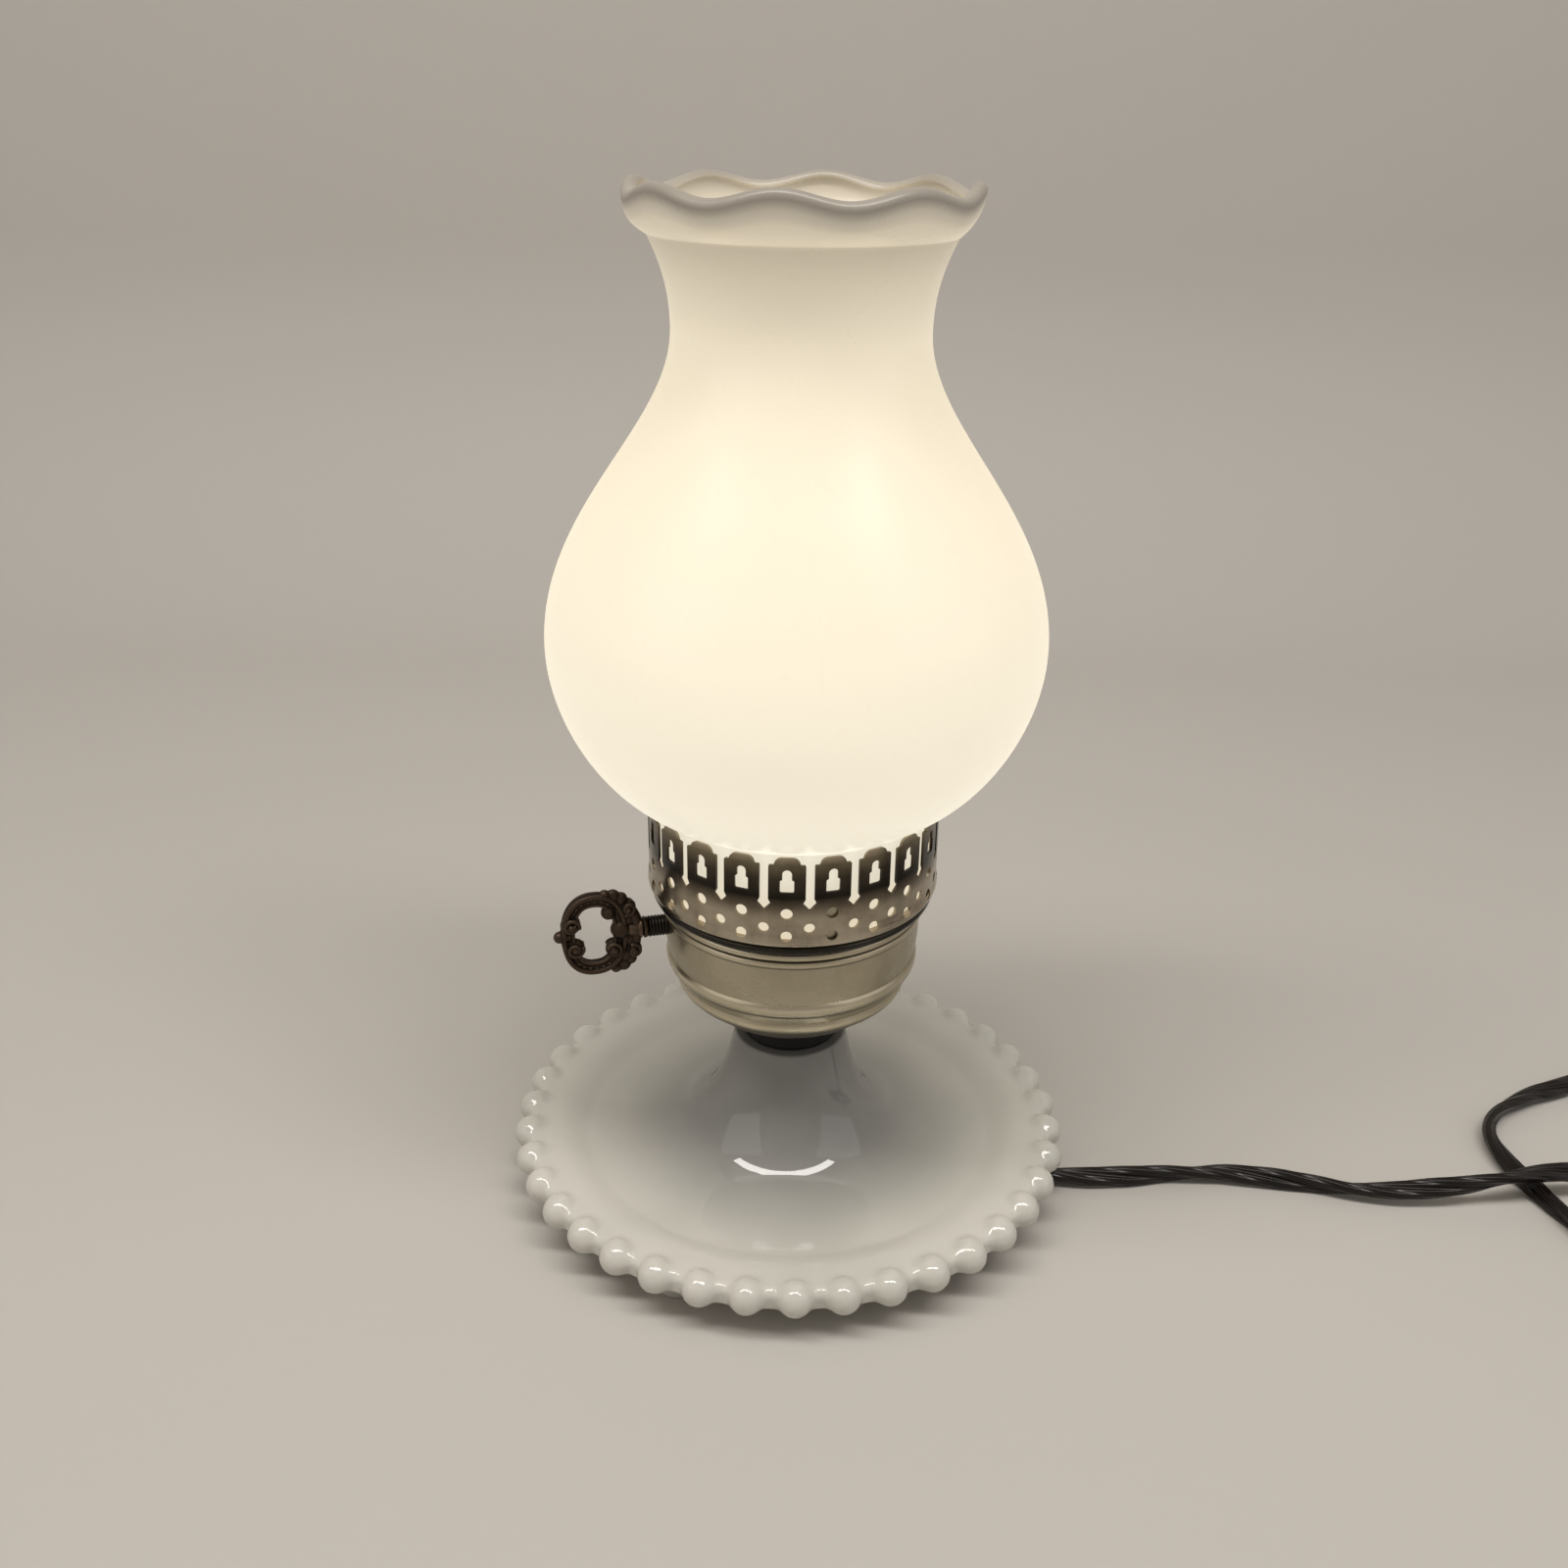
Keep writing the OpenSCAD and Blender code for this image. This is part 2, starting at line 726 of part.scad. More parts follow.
// The two flats and the wire slot lie across the key's shaft
module across_key(z) {
    translate([0, 0, z])
        rotate([0, 0, key_angle + 90])
            children();
}

module socket_body() {
    key_drop = key_z - socket_z;
    color("saddlebrown")
        difference() {
            translate([0, 0, socket_z])
                cylinder(r = socket_r, h = socket_h);
            for (side = [0, 180])
                across_key(socket_z - 1)
                    rotate([0, 0, side])
                        translate([flat_u, -socket_r, 0])
                            cube([socket_r, 2 * socket_r, screw_z - socket_z + 8]);
            across_key(socket_z - 1)
                translate([-socket_r - 1, -wire_slot_w / 2, 0])
                    cube([2 * socket_r + 2, wire_slot_w, lead_level_z + lead_r - socket_z + 2]);
            for (side = [0, 180])
                across_key(screw_z)
                    rotate([0, 0, side])
                        key_bar(screw_shank_r, flat_u - screw_len, flat_u + 1);
            at_key() {
                key_bar(cavity_r, -cavity_len / 2, cavity_len / 2);
                key_bar(shaft_r + shaft_clear, 0, socket_r + 2);
                translate([-cavity_len / 2, -leaf_w / 2 - 0.3, leaf_foot])
                    cube([cavity_len, leaf_w + 0.6, -leaf_foot]);
            }
        }
}

module terminal_screws() {
    color("gold")
        for (side = [0, 180])
            across_key(screw_z)
                rotate([0, 0, side])
                    difference() {
                        union() {
                            key_bar(screw_shank_r, flat_u - screw_len, flat_u + 0.5);
                            key_bar(screw_head_r, flat_u, flat_u + screw_head_t);
                        }
                        translate([flat_u + screw_head_t, 0, 0])
                            cube([1, 2 * screw_head_r + 1, 0.8], center = true);
                    }
}

module screw_shell() {
    color("gold")
        translate([0, 0, shell_z]) {
            ring(shell_r + shell_t, shell_r, shell_h);
            ring(shell_r + shell_t, shell_r - 4, shell_t);
        }
}

module centre_contact() {
    color("gold")
        translate([0, 0, socket_top_z])
            cylinder(r = 4, h = contact_t);
}

// One lead: up the nipple, out along the slot, and up to its screw
module lead() {
    rise = lead_level_z - lead_bend_r - lead_start_z;
    translate([lead_off, 0, lead_start_z])
        cylinder(r = lead_r, h = rise, $fn = 32);
    translate([lead_off + lead_bend_r, 0, lead_level_z - lead_bend_r])
        rotate([90, 0, 0])
            rotate([0, 0, 90])
                rotate_extrude(angle = 90)
                    translate([lead_bend_r, 0])
                        circle(r = lead_r, $fn = 32);
    translate([lead_off + lead_bend_r, 0, lead_level_z])
        rotate([0, 90, 0])
            cylinder(r = lead_r, h = lead_out_u - lead_off - 2 * lead_bend_r, $fn = 32);
    translate([lead_out_u - lead_bend_r, 0, lead_level_z + lead_bend_r])
        rotate([90, 0, 0])
            rotate([0, 0, 270])
                rotate_extrude(angle = 90)
                    translate([lead_bend_r, 0])
                        circle(r = lead_r, $fn = 32);
    translate([lead_out_u, 0, lead_level_z + lead_bend_r])
        cylinder(r = lead_r, h = screw_z - screw_head_r - lead_level_z - lead_bend_r, $fn = 32);
}

module lead_wires() {
    color("black")
        for (side = [0, 180])
            across_key(0)
                rotate([0, 0, side])
                    lead();
}

// Bulb

globe_curve = bezier([[bulb_neck_r, bulb_seam_z], [bulb_neck_r + 1.5, bulb_seam_z + 17],
    [bulb_r, bulb_mid_z - bulb_r * 0.72], [bulb_r, bulb_mid_z]], 12);
crown_curve = bezier([[bulb_r, bulb_mid_z], [bulb_r, bulb_mid_z + bulb_r * 0.5523],
    [bulb_r * 0.5523, bulb_top_z], [0, bulb_top_z]], 10);

module bulb_glass() {
    outer = concat(globe_curve, tail(crown_curve));
    inner = inset(outer, bulb_glass_t);
    color("white")
        rotate_extrude()
            polygon(concat(outer, [[0, bulb_top_z - bulb_glass_t]],
                [for (i = [len(inner) - 2:-1:1]) inner[i]],
                [[bulb_neck_r - bulb_glass_t, bulb_seam_z]]));
}

module bulb_cap() {
    z0 = bulb_z + 3;
    top = bulb_z + bulb_cap_h;
    rim = bulb_neck_r - 2;
    color("silver")
        rotate_extrude()
            polygon([[4.5, z0], [8.5, z0], [bulb_cap_r, z0 + 2.6], [bulb_cap_r, top],
                [rim, top], [rim, top - 1], [bulb_cap_r - 1, top - 1],
                [bulb_cap_r - 1, z0 + 3.2], [8.1, z0 + 0.6], [4.5, z0 + 0.6]]);
}

module bulb_insulator() {
    color("black")
        translate([0, 0, bulb_z + 0.8])
            rotate_extrude()
                polygon([[2.6, 0], [5, 0], [8, 2.2], [2.6, 2.2]]);
}

module bulb_tip() {
    color("silver")
        translate([0, 0, bulb_z]) {
            cylinder(r1 = 3.4, r2 = 4.6, h = 0.8);
            cylinder(r = 2.5, h = 2.6);
        }
}

// Glass stem, two support wires and the filament's arch
module bulb_filament() {
    stem_z = bulb_z + 3.6;
    stem_h = bulb_cap_h + stem_rise;
    wire_h = bulb_mid_z - stem_z - stem_h - 2;
    spread = filament_half - support_half;
    color("silver") {
        translate([0, 0, stem_z])
            cylinder(r1 = stem_foot_r, r2 = stem_top_r, h = stem_h, $fn = 48);
        for (side = [-1, 1])
            translate([side * support_half, 0, stem_z + stem_h - bite])
                rotate([0, side * atan2(spread, wire_h), 0])
                    cylinder(r = support_r, h = norm([spread, wire_h]), $fn = 16);
        translate([0, 0, stem_z + stem_h + wire_h - bite])
            rotate([90, 0, 0])
                rotate_extrude(angle = 180)
                    translate([filament_half, 0])
                        circle(r = filament_r, $fn = 16);
    }
}

// Shade

shade_fillet = [[collar_r, shade_z + collar_h], [collar_r, shade_z + collar_h + 1.6],
    [collar_r + 0.9, shade_z + collar_h + 1.9], [collar_r + 2.8, shade_z + collar_h + 3]];
shade_lower = [shade_fillet[3],
    [collar_r + lower_pull_out, shade_z + collar_h + lower_pull_up],
    [belly_r, shade_z + belly_h - belly_pull_down], [belly_r, shade_z + belly_h]];
shade_upper = [shade_lower[3], [belly_r, shade_z + belly_h + belly_pull_up],
    [throat_r, shade_z + throat_h - throat_pull_down], [throat_r, shade_z + throat_h]];
shade_flare = [shade_upper[3], [throat_r, shade_z + throat_h + throat_pull_up],
    [throat_r + 2, shade_z + throat_h + 18.5],
    [mouth_r + lip_r * 0.75, shade_z + mouth_h - lip_r * 0.66]];
flare_split = 0.35;
split_inset = 0.1;
split_sink = 1.5;

// The chimney is one glass in three solids: the straight collar, the belly up to the throat,
// and the flaring mouth. They meet face to face where the wall stands upright.
collar_top_z = shade_z + collar_h;
throat_z = shade_z + throat_h;
function turned_wall(outer, first, last) =
    let (inner = inset(outer, shade_t))
    let (n = len(outer) - 1)
    concat(outer, [last], [for (i = [n - 1:-1:1]) inner[i]], [first]);
belly_outer = concat(bezier(shade_fillet, 4), tail(bezier(shade_lower, 14)),
    tail(bezier(shade_upper, 20)));
flare_outer = bezier(shade_flare, 3, 0, flare_split);
split_out = flare_outer[len(flare_outer) - 1];
split_in = inset(flare_outer, shade_t)[len(flare_outer) - 1];

// Section of the scalloped mouth: up the outside, over the lip and down the inside.
// Each point is [radius, height, share of the scallop's rise].
mouth_steps = 5;
lip_steps = 6;
function mouth_outer(i) = bezier_at(shade_flare, flare_split + (1 - flare_split) * i / mouth_steps);
mouth_wall = [for (i = [0:mouth_steps]) mouth_outer(i)];
mouth_wall_in = inset(mouth_wall, shade_t);
function rise_share(i) = pow(i / mouth_steps, 2);
mouth_section = concat(
    [[split_out[0] - split_inset * 3, split_out[1] - split_sink, 0],
        [split_out[0] - split_inset, split_out[1], 0]],
    [for (i = [1:mouth_steps]) [mouth_wall[i][0], mouth_wall[i][1], rise_share(i)]],
    [for (k = [1:lip_steps]) let (a = -40 + k * 190 / (lip_steps + 1))
        [mouth_r + lip_r * cos(a), shade_z + mouth_h + lip_r * sin(a), 1]],
    [for (i = [mouth_steps:-1:1]) [mouth_wall_in[i][0], mouth_wall_in[i][1], rise_share(i)]],
    [[split_in[0] + split_inset, split_out[1], 0],
        [split_in[0] + split_inset * 3, split_out[1] - split_sink, 0]]
);

// Round solid whose section rises and falls in scallops
module scalloped_ring(section, steps) {
    n = len(section);
    points = [
        for (j = [0:steps - 1])
            let (a = j * 360 / steps)
            let (wave = scallop_h / 2 * cos(scallop_count * (a + 90 - scallop_phase)))
            for (p = section)
                [p[0] * cos(a), p[0] * sin(a), p[1] + p[2] * wave]
    ];
    faces = [
        for (j = [0:steps - 1], i = [0:n - 1])
            let (a = j * n + i)
            let (b = j * n + (i + 1) % n)
            let (c = ((j + 1) % steps) * n + i)
            let (d = ((j + 1) % steps) * n + (i + 1) % n)
            for (f = [[a, b, c], [c, b, d]])
                f
    ];
    polyhedron(points = points, faces = faces);
}

module shade_collar() {
    color("floralwhite")
        rotate_extrude()
            translate([collar_r - shade_t, shade_z])
                square([shade_t, collar_h]);
}

module glass_shade() {
    color("floralwhite")
        rotate_extrude()
            polygon(turned_wall(belly_outer, [collar_r - shade_t, collar_top_z],
                [throat_r - shade_t, throat_z]));
}

module shade_mouth() {
    color("floralwhite") {
        rotate_extrude()
            polygon(turned_wall(flare_outer, [throat_r - shade_t, throat_z],
                [split_in[0], split_out[1]]));
        scalloped_ring(mouth_section, scallop_count * 12);
    }
}

// Cord, coil and plug

// Smooth curve through a list of points, with a number of steps between each two
function through(p, steps) = [
    for (i = [0:len(p) - 2])
        let (a = p[max(i - 1, 0)])
        let (d = p[min(i + 2, len(p) - 1)])
        let (m = (p[i + 1] - a) / 2)
        let (n = (d - p[i]) / 2)
        for (k = [0:steps - 1 + (i == len(p) - 2 ? 1 : 0)])
            let (t = k / steps)
            (2 * t * t * t - 3 * t * t + 1) * p[i] + (t * t * t - 2 * t * t + t) * m
            + (3 * t * t - 2 * t * t * t) * p[i + 1] + (t * t * t - t * t) * n
];

function unit(v) = v / norm(v);
function tangent(p, i) = unit(i == 0 ? p[1] - p[0]
    : i == len(p) - 1 ? p[i] - p[i - 1] : p[i + 1] - p[i - 1]);
// Level direction square to a path: where the path is upright, that of the way out
function level_normal(t, way_out) =
    norm([t[0], t[1]]) > 0.05 ? unit([-t[1], t[0], 0]) : unit([-way_out[1], way_out[0], 0]);

// Round tube along a path, as one closed solid with flat ends
module tube(path, r, sides, way_out) {
    last = len(path) - 1;
    points = [
        for (i = [0:last])
            let (t = tangent(path, i))
            let (n = level_normal(t, way_out))
            let (b = cross(t, n))
            for (k = [0:sides - 1])
                path[i] + r * (cos((k + 0.5) * 360 / sides) * n + sin((k + 0.5) * 360 / sides) * b)
    ];
    faces = concat(
        [[for (k = [sides - 1:-1:0]) k]],
        [for (i = [0:last - 1], k = [0:sides - 1])
            let (a = i * sides + k)
            let (b = i * sides + (k + 1) % sides)
            for (f = [[a, b, a + sides], [b, b + sides, a + sides]])
                f],
        [[for (k = [0:sides - 1]) last * sides + k]]
    );
    polyhedron(points = points, faces = faces);
}

cord_path = through(cord_points, 2);

// A point of the coil after a number of turns: in on the lower layer, up in half a
// turn at the eye, and out again on the upper layer
function coil_spot(a, r, z) = [coil_x + r * cos(a), coil_y + r * sin(a), z];
function coil_point(turn) =
    let (a = 180 + 360 * turn)
    let (back = turn - coil_turns - 0.5)
    turn <= coil_turns ? coil_spot(a, coil_out_r - turn * coil_pitch, coil_z)
    : back >= 0 ? coil_spot(a, coil_in_r + back * coil_pitch, coil_z + coil_pitch)
    : coil_spot(a, coil_in_r - coil_dip * sin(360 * (turn - coil_turns)),
        coil_z + coil_pitch * (1 - cos(360 * (turn - coil_turns))) / 2);
coil_all = 2 * coil_turns + 0.5;
coil_steps = coil_all * coil_loop_rings;
coil_path = concat([coil_entry],
    [for (i = [0:coil_steps]) coil_point(i * coil_all / coil_steps)], [coil_exit]);
coil_self_gap = min([
    for (i = [0:coil_steps], j = [i + coil_loop_rings / 2:coil_steps])
        norm(coil_point(i * coil_all / coil_steps) - coil_point(j * coil_all / coil_steps))
]) - cord_d;
cord_total = path_length(cord_path) + path_length(coil_path) + tail_len;
echo(least_gap_between_turns = coil_self_gap, cord_length = cord_total);  // cord_coil

module cord_run() {
    color("saddlebrown")
        tube(cord_path, cord_r, 8, [1, -0.16, 0]);
}

module cord_coil() {
    color("saddlebrown")
        tube(coil_path, cord_r, 6, [0, 1, 0]);
}

module cord_tail() {
    color("saddlebrown")
        translate(coil_exit)
            rotate([-90, 0, 0])
                cylinder(r = cord_r, h = tail_len);
}

// Strap round all the turns, on the side away from the front
module cord_tie() {
    near = coil_in_r + coil_pitch / 4 - cord_r - tie_clear;
    far = coil_in_r + coil_pitch * (coil_turns - 0.75) + cord_r + tie_clear;
    tall = coil_pitch + cord_d + 2 * tie_clear;
    color("black")
        translate([coil_x - tie_w / 2, coil_y + near - tie_t, 0])
            difference() {
                cube([tie_w, far - near + 2 * tie_t, tall + 2 * tie_t]);
                translate([-1, tie_t, tie_t])
                    cube([tie_w + 2, far - near, tall]);
            }
}

plug_start = coil_exit + [0, tail_len, 0];
plug_grip = 3;

// Outline of the plug's moulded body, seen from above
module plug_outline() {
    neck = cord_d + 3;
    polygon([[-neck / 2, 0], [neck / 2, 0], [neck / 2 + 0.8, plug_len * 0.3],
        [plug_w / 2 - plug_grip, plug_len * 0.42], [plug_w / 2 - plug_grip, plug_len * 0.62],
        [plug_w / 2, plug_len * 0.8], [plug_w / 2, plug_len],
        [-plug_w / 2, plug_len], [-plug_w / 2, plug_len * 0.8],
        [plug_grip - plug_w / 2, plug_len * 0.62], [plug_grip - plug_w / 2, plug_len * 0.42],
        [-neck / 2 - 0.8, plug_len * 0.3]]);
}

module plug_body() {
    color("saddlebrown")
        translate(plug_start)
            intersection() {
                translate([0, 0, -plug_t / 2])
                    linear_extrude(height = plug_t)
                        plug_outline();
                rotate([-90, 0, 0])
                    cylinder(r1 = cord_d * 0.8, r2 = plug_w * 0.85, h = plug_len);
            }
}

module plug_blades() {
    color("silver")
        for (side = [-1, 1])
            translate(plug_start + [side * blade_gap / 2, plug_len, 0])
                difference() {
                    translate([-0.75, 0, -3.2])
                        cube([1.5, blade_len, 6.4]);
                    translate([-2, blade_len - 4, 0])
                        rotate([0, 90, 0])
                            cylinder(r = 1.6, h = 4, $fn = 32);
                }
}

glass_base();
lower_washer();
hex_nut();
threaded_nipple();
neck_spacer();
burner_cup();
gallery();
gallery_strap();
key_bushing();
key_shaft();
key_bow();
switch_rotor();
contact_leaf();
socket_cap();
socket_body();
terminal_screws();
screw_shell();
centre_contact();
lead_wires();
bulb_glass();
bulb_cap();
bulb_insulator();
bulb_tip();
bulb_filament();
shade_collar();
glass_shade();
shade_mouth();
cord_run();
cord_coil();
cord_tail();
cord_tie();
plug_body();
plug_blades();
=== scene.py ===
"""Looks of a small electric hurricane lamp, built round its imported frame.

Sizes in the classes are millimetres in the lamp's own frame: +Z up the lamp's axis,
-Y to the front, the table at z = 0. Meshes are made in metres.
"""

from __future__ import annotations

import logging
import math
from dataclasses import dataclass, field
from enum import Enum
from typing import Any, Callable, Optional, Sequence

import bmesh
import bpy
from mathutils import Matrix, Vector
from mathutils.geometry import delaunay_2d_cdt

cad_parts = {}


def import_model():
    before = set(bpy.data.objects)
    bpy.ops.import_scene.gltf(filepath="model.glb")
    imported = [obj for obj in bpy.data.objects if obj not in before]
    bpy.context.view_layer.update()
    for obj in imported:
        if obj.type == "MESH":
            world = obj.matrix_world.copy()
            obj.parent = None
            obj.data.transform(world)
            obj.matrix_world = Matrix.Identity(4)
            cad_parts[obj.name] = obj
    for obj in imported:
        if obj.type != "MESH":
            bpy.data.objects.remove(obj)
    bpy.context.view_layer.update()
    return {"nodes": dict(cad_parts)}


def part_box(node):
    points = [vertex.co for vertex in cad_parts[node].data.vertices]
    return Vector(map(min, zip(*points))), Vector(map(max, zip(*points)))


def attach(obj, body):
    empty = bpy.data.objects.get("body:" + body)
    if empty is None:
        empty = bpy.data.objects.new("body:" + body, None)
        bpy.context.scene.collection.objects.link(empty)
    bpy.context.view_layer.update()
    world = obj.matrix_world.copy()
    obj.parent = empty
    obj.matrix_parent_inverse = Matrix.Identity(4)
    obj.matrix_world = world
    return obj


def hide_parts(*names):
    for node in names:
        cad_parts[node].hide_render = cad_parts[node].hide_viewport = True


MM = 0.001
FULL = 2 * math.pi
WELD = 0.002
LOG = logging.getLogger("hurricane_lamp")

# Kinds of node that come up often.
NOISE, RAMP, BUMP = "ShaderNodeTexNoise", "ShaderNodeValToRGB", "ShaderNodeBump"
RANGE, MATH, MIX = "ShaderNodeMapRange", "ShaderNodeMath", "ShaderNodeMix"
VECTOR, SPLIT, UNITE = "ShaderNodeVectorMath", "ShaderNodeSeparateXYZ", "ShaderNodeCombineXYZ"

Point2 = tuple[float, float]
Point3 = tuple[float, float, float]
Stops = Sequence[tuple[float, str]]
Lift = Callable[[int, float], Point2]
Piece = bpy.types.Object
Tree = bpy.types.NodeTree
Socket = bpy.types.NodeSocket


# ---------------------------------------------------------------- curves


def spaced(start: float, end: float, steps: int) -> list[float]:
    """Evenly spaced values from start to end, both included."""
    return [start + (end - start) * i / steps for i in range(steps + 1)]


def ease(t: float) -> float:
    """A share from 0 to 1, slowed at both ends."""
    return t * t * (3 - 2 * t)


def bezier(p: Sequence[Point2], steps: int) -> list[Point2]:
    """Points on a cubic curve.

    Args:
        p: The four control points.
        steps: Pieces to divide the curve in.

    Returns:
        steps + 1 points.
    """
    out = []
    for t in spaced(0, 1, steps):
        w = ((1 - t) ** 3, 3 * t * (1 - t) ** 2, 3 * t * t * (1 - t), t**3)
        out.append((sum(k * q[0] for k, q in zip(w, p)), sum(k * q[1] for k, q in zip(w, p))))
    return out


def inset(points: Sequence[Point2], distance: float) -> list[Point2]:
    """Moves a curve sideways, to the left of its direction.

    Args:
        points: The curve.
        distance: How far to move it.

    Returns:
        The moved points.
    """
    out = []
    last = len(points) - 1
    for i, (x, y) in enumerate(points):
        a, b = points[max(i - 1, 0)], points[min(i + 1, last)]
        dx, dy = b[0] - a[0], b[1] - a[1]
        n = math.hypot(dx, dy)
        out.append((x - distance * dy / n, y + distance * dx / n))
    return out


def arc(centre: Point2, radius: float, start: float, end: float, steps: int) -> list[Point2]:
    """Points on an arc of a circle.

    Args:
        centre: Centre of the circle.
        radius: Its radius.
        start: First angle in degrees.
        end: Last angle in degrees.
        steps: Pieces to divide the arc in.

    Returns:
        steps + 1 points.
    """
    angles = [math.radians(a) for a in spaced(start, end, steps)]
    return [(centre[0] + radius * math.cos(a), centre[1] + radius * math.sin(a)) for a in angles]


def soften(points: Sequence[Point2], radius: float, steps: int = 4) -> list[Point2]:
    """Rounds every corner of a closed outline.

    Args:
        points: The outline's corners.
        radius: How far from a corner the rounding begins.
        steps: Pieces in each rounded corner.

    Returns:
        The rounded outline.
    """
    out: list[Point2] = []
    most = 0.45
    for i, p in enumerate(points):
        ends = []
        for q in (points[i - 1], points[(i + 1) % len(points)]):
            d = math.dist(p, q)
            k = min(radius, most * d) / d
            ends.append((p[0] + (q[0] - p[0]) * k, p[1] + (q[1] - p[1]) * k))
        for t in spaced(0, 1, steps):
            a, b, c = (1 - t) ** 2, 2 * t * (1 - t), t * t
            out.append(tuple(a * ends[0][k] + b * p[k] + c * ends[1][k] for k in (0, 1)))
    return out


def smooth_route(points: Sequence[Vector], steps: int) -> list[Vector]:
    """Smooth curve through a list of points.

    Args:
        points: The points to pass through.
        steps: Pieces between each two of them.

    Returns:
        The curve's points.
    """
    out = []
    last = len(points) - 1
    for i in range(last):
        p, q = points[i], points[i + 1]
        m, n = (q - points[max(i - 1, 0)]) / 2, (points[min(i + 2, last)] - p) / 2
        for k in range(steps + (i == last - 1)):
            t = k / steps
            way = (2 * t**3 - 3 * t**2 + 1) * p + (t**3 - 2 * t**2 + t) * m
            out.append(way + (3 * t**2 - 2 * t**3) * q + (t**3 - t**2) * n)
    return out


def in_polygon(point: Point2, polygon: Sequence[Point2]) -> bool:
    """Says whether a point lies inside a closed outline.

    Args:
        point: The point.
        polygon: The outline's corners.

    Returns:
        True when the point is inside.
    """
    x, y = point
    inside = False
    for (ax, ay), (bx, by) in zip(polygon, [*polygon[1:], polygon[0]]):
        if (ay > y) != (by > y) and x < (bx - ax) * (y - ay) / (by - ay) + ax:
            inside = not inside
    return inside


# ---------------------------------------------------------------- meshes


def put(name: str, data: bpy.types.ID) -> Piece:
    """Puts a new object in the scene.

    Args:
        name: Its name.
        data: Its mesh, light or camera.

    Returns:
        The object, at the origin.
    """
    obj = bpy.data.objects.new(name, data)
    bpy.context.scene.collection.objects.link(obj)
    return obj


def settle(mesh: bpy.types.Mesh, bm: bmesh.types.BMesh, crease: float) -> Piece:
    """Makes a mesh an object, smooth with its sharper edges kept.

    Args:
        mesh: The mesh to fill.
        bm: What it takes, which is freed.
        crease: Angle in degrees past which an edge shows as sharp.

    Returns:
        The object, with the mesh's name.
    """
    bm.to_mesh(mesh)
    bm.free()
    mesh.polygons.foreach_set("use_smooth", [True] * len(mesh.polygons))
    mesh.set_sharp_from_angle(angle=math.radians(crease))
    return put(mesh.name, mesh)


def web(rows: int, n: int, loop: bool) -> list[tuple[int, ...]]:
    """Faces between closed rings of points.

    Args:
        rows: Number of rings.
        n: Points in each ring.
        loop: True when the last ring joins the first.

    Returns:
        The faces.
    """
    pairs = [(j * n, (j + 1) % rows * n) for j in range(rows if loop else rows - 1)]
    return [(j + i, k + i, k + (i + 1) % n, j + (i + 1) % n) for j, k in pairs for i in range(n)]


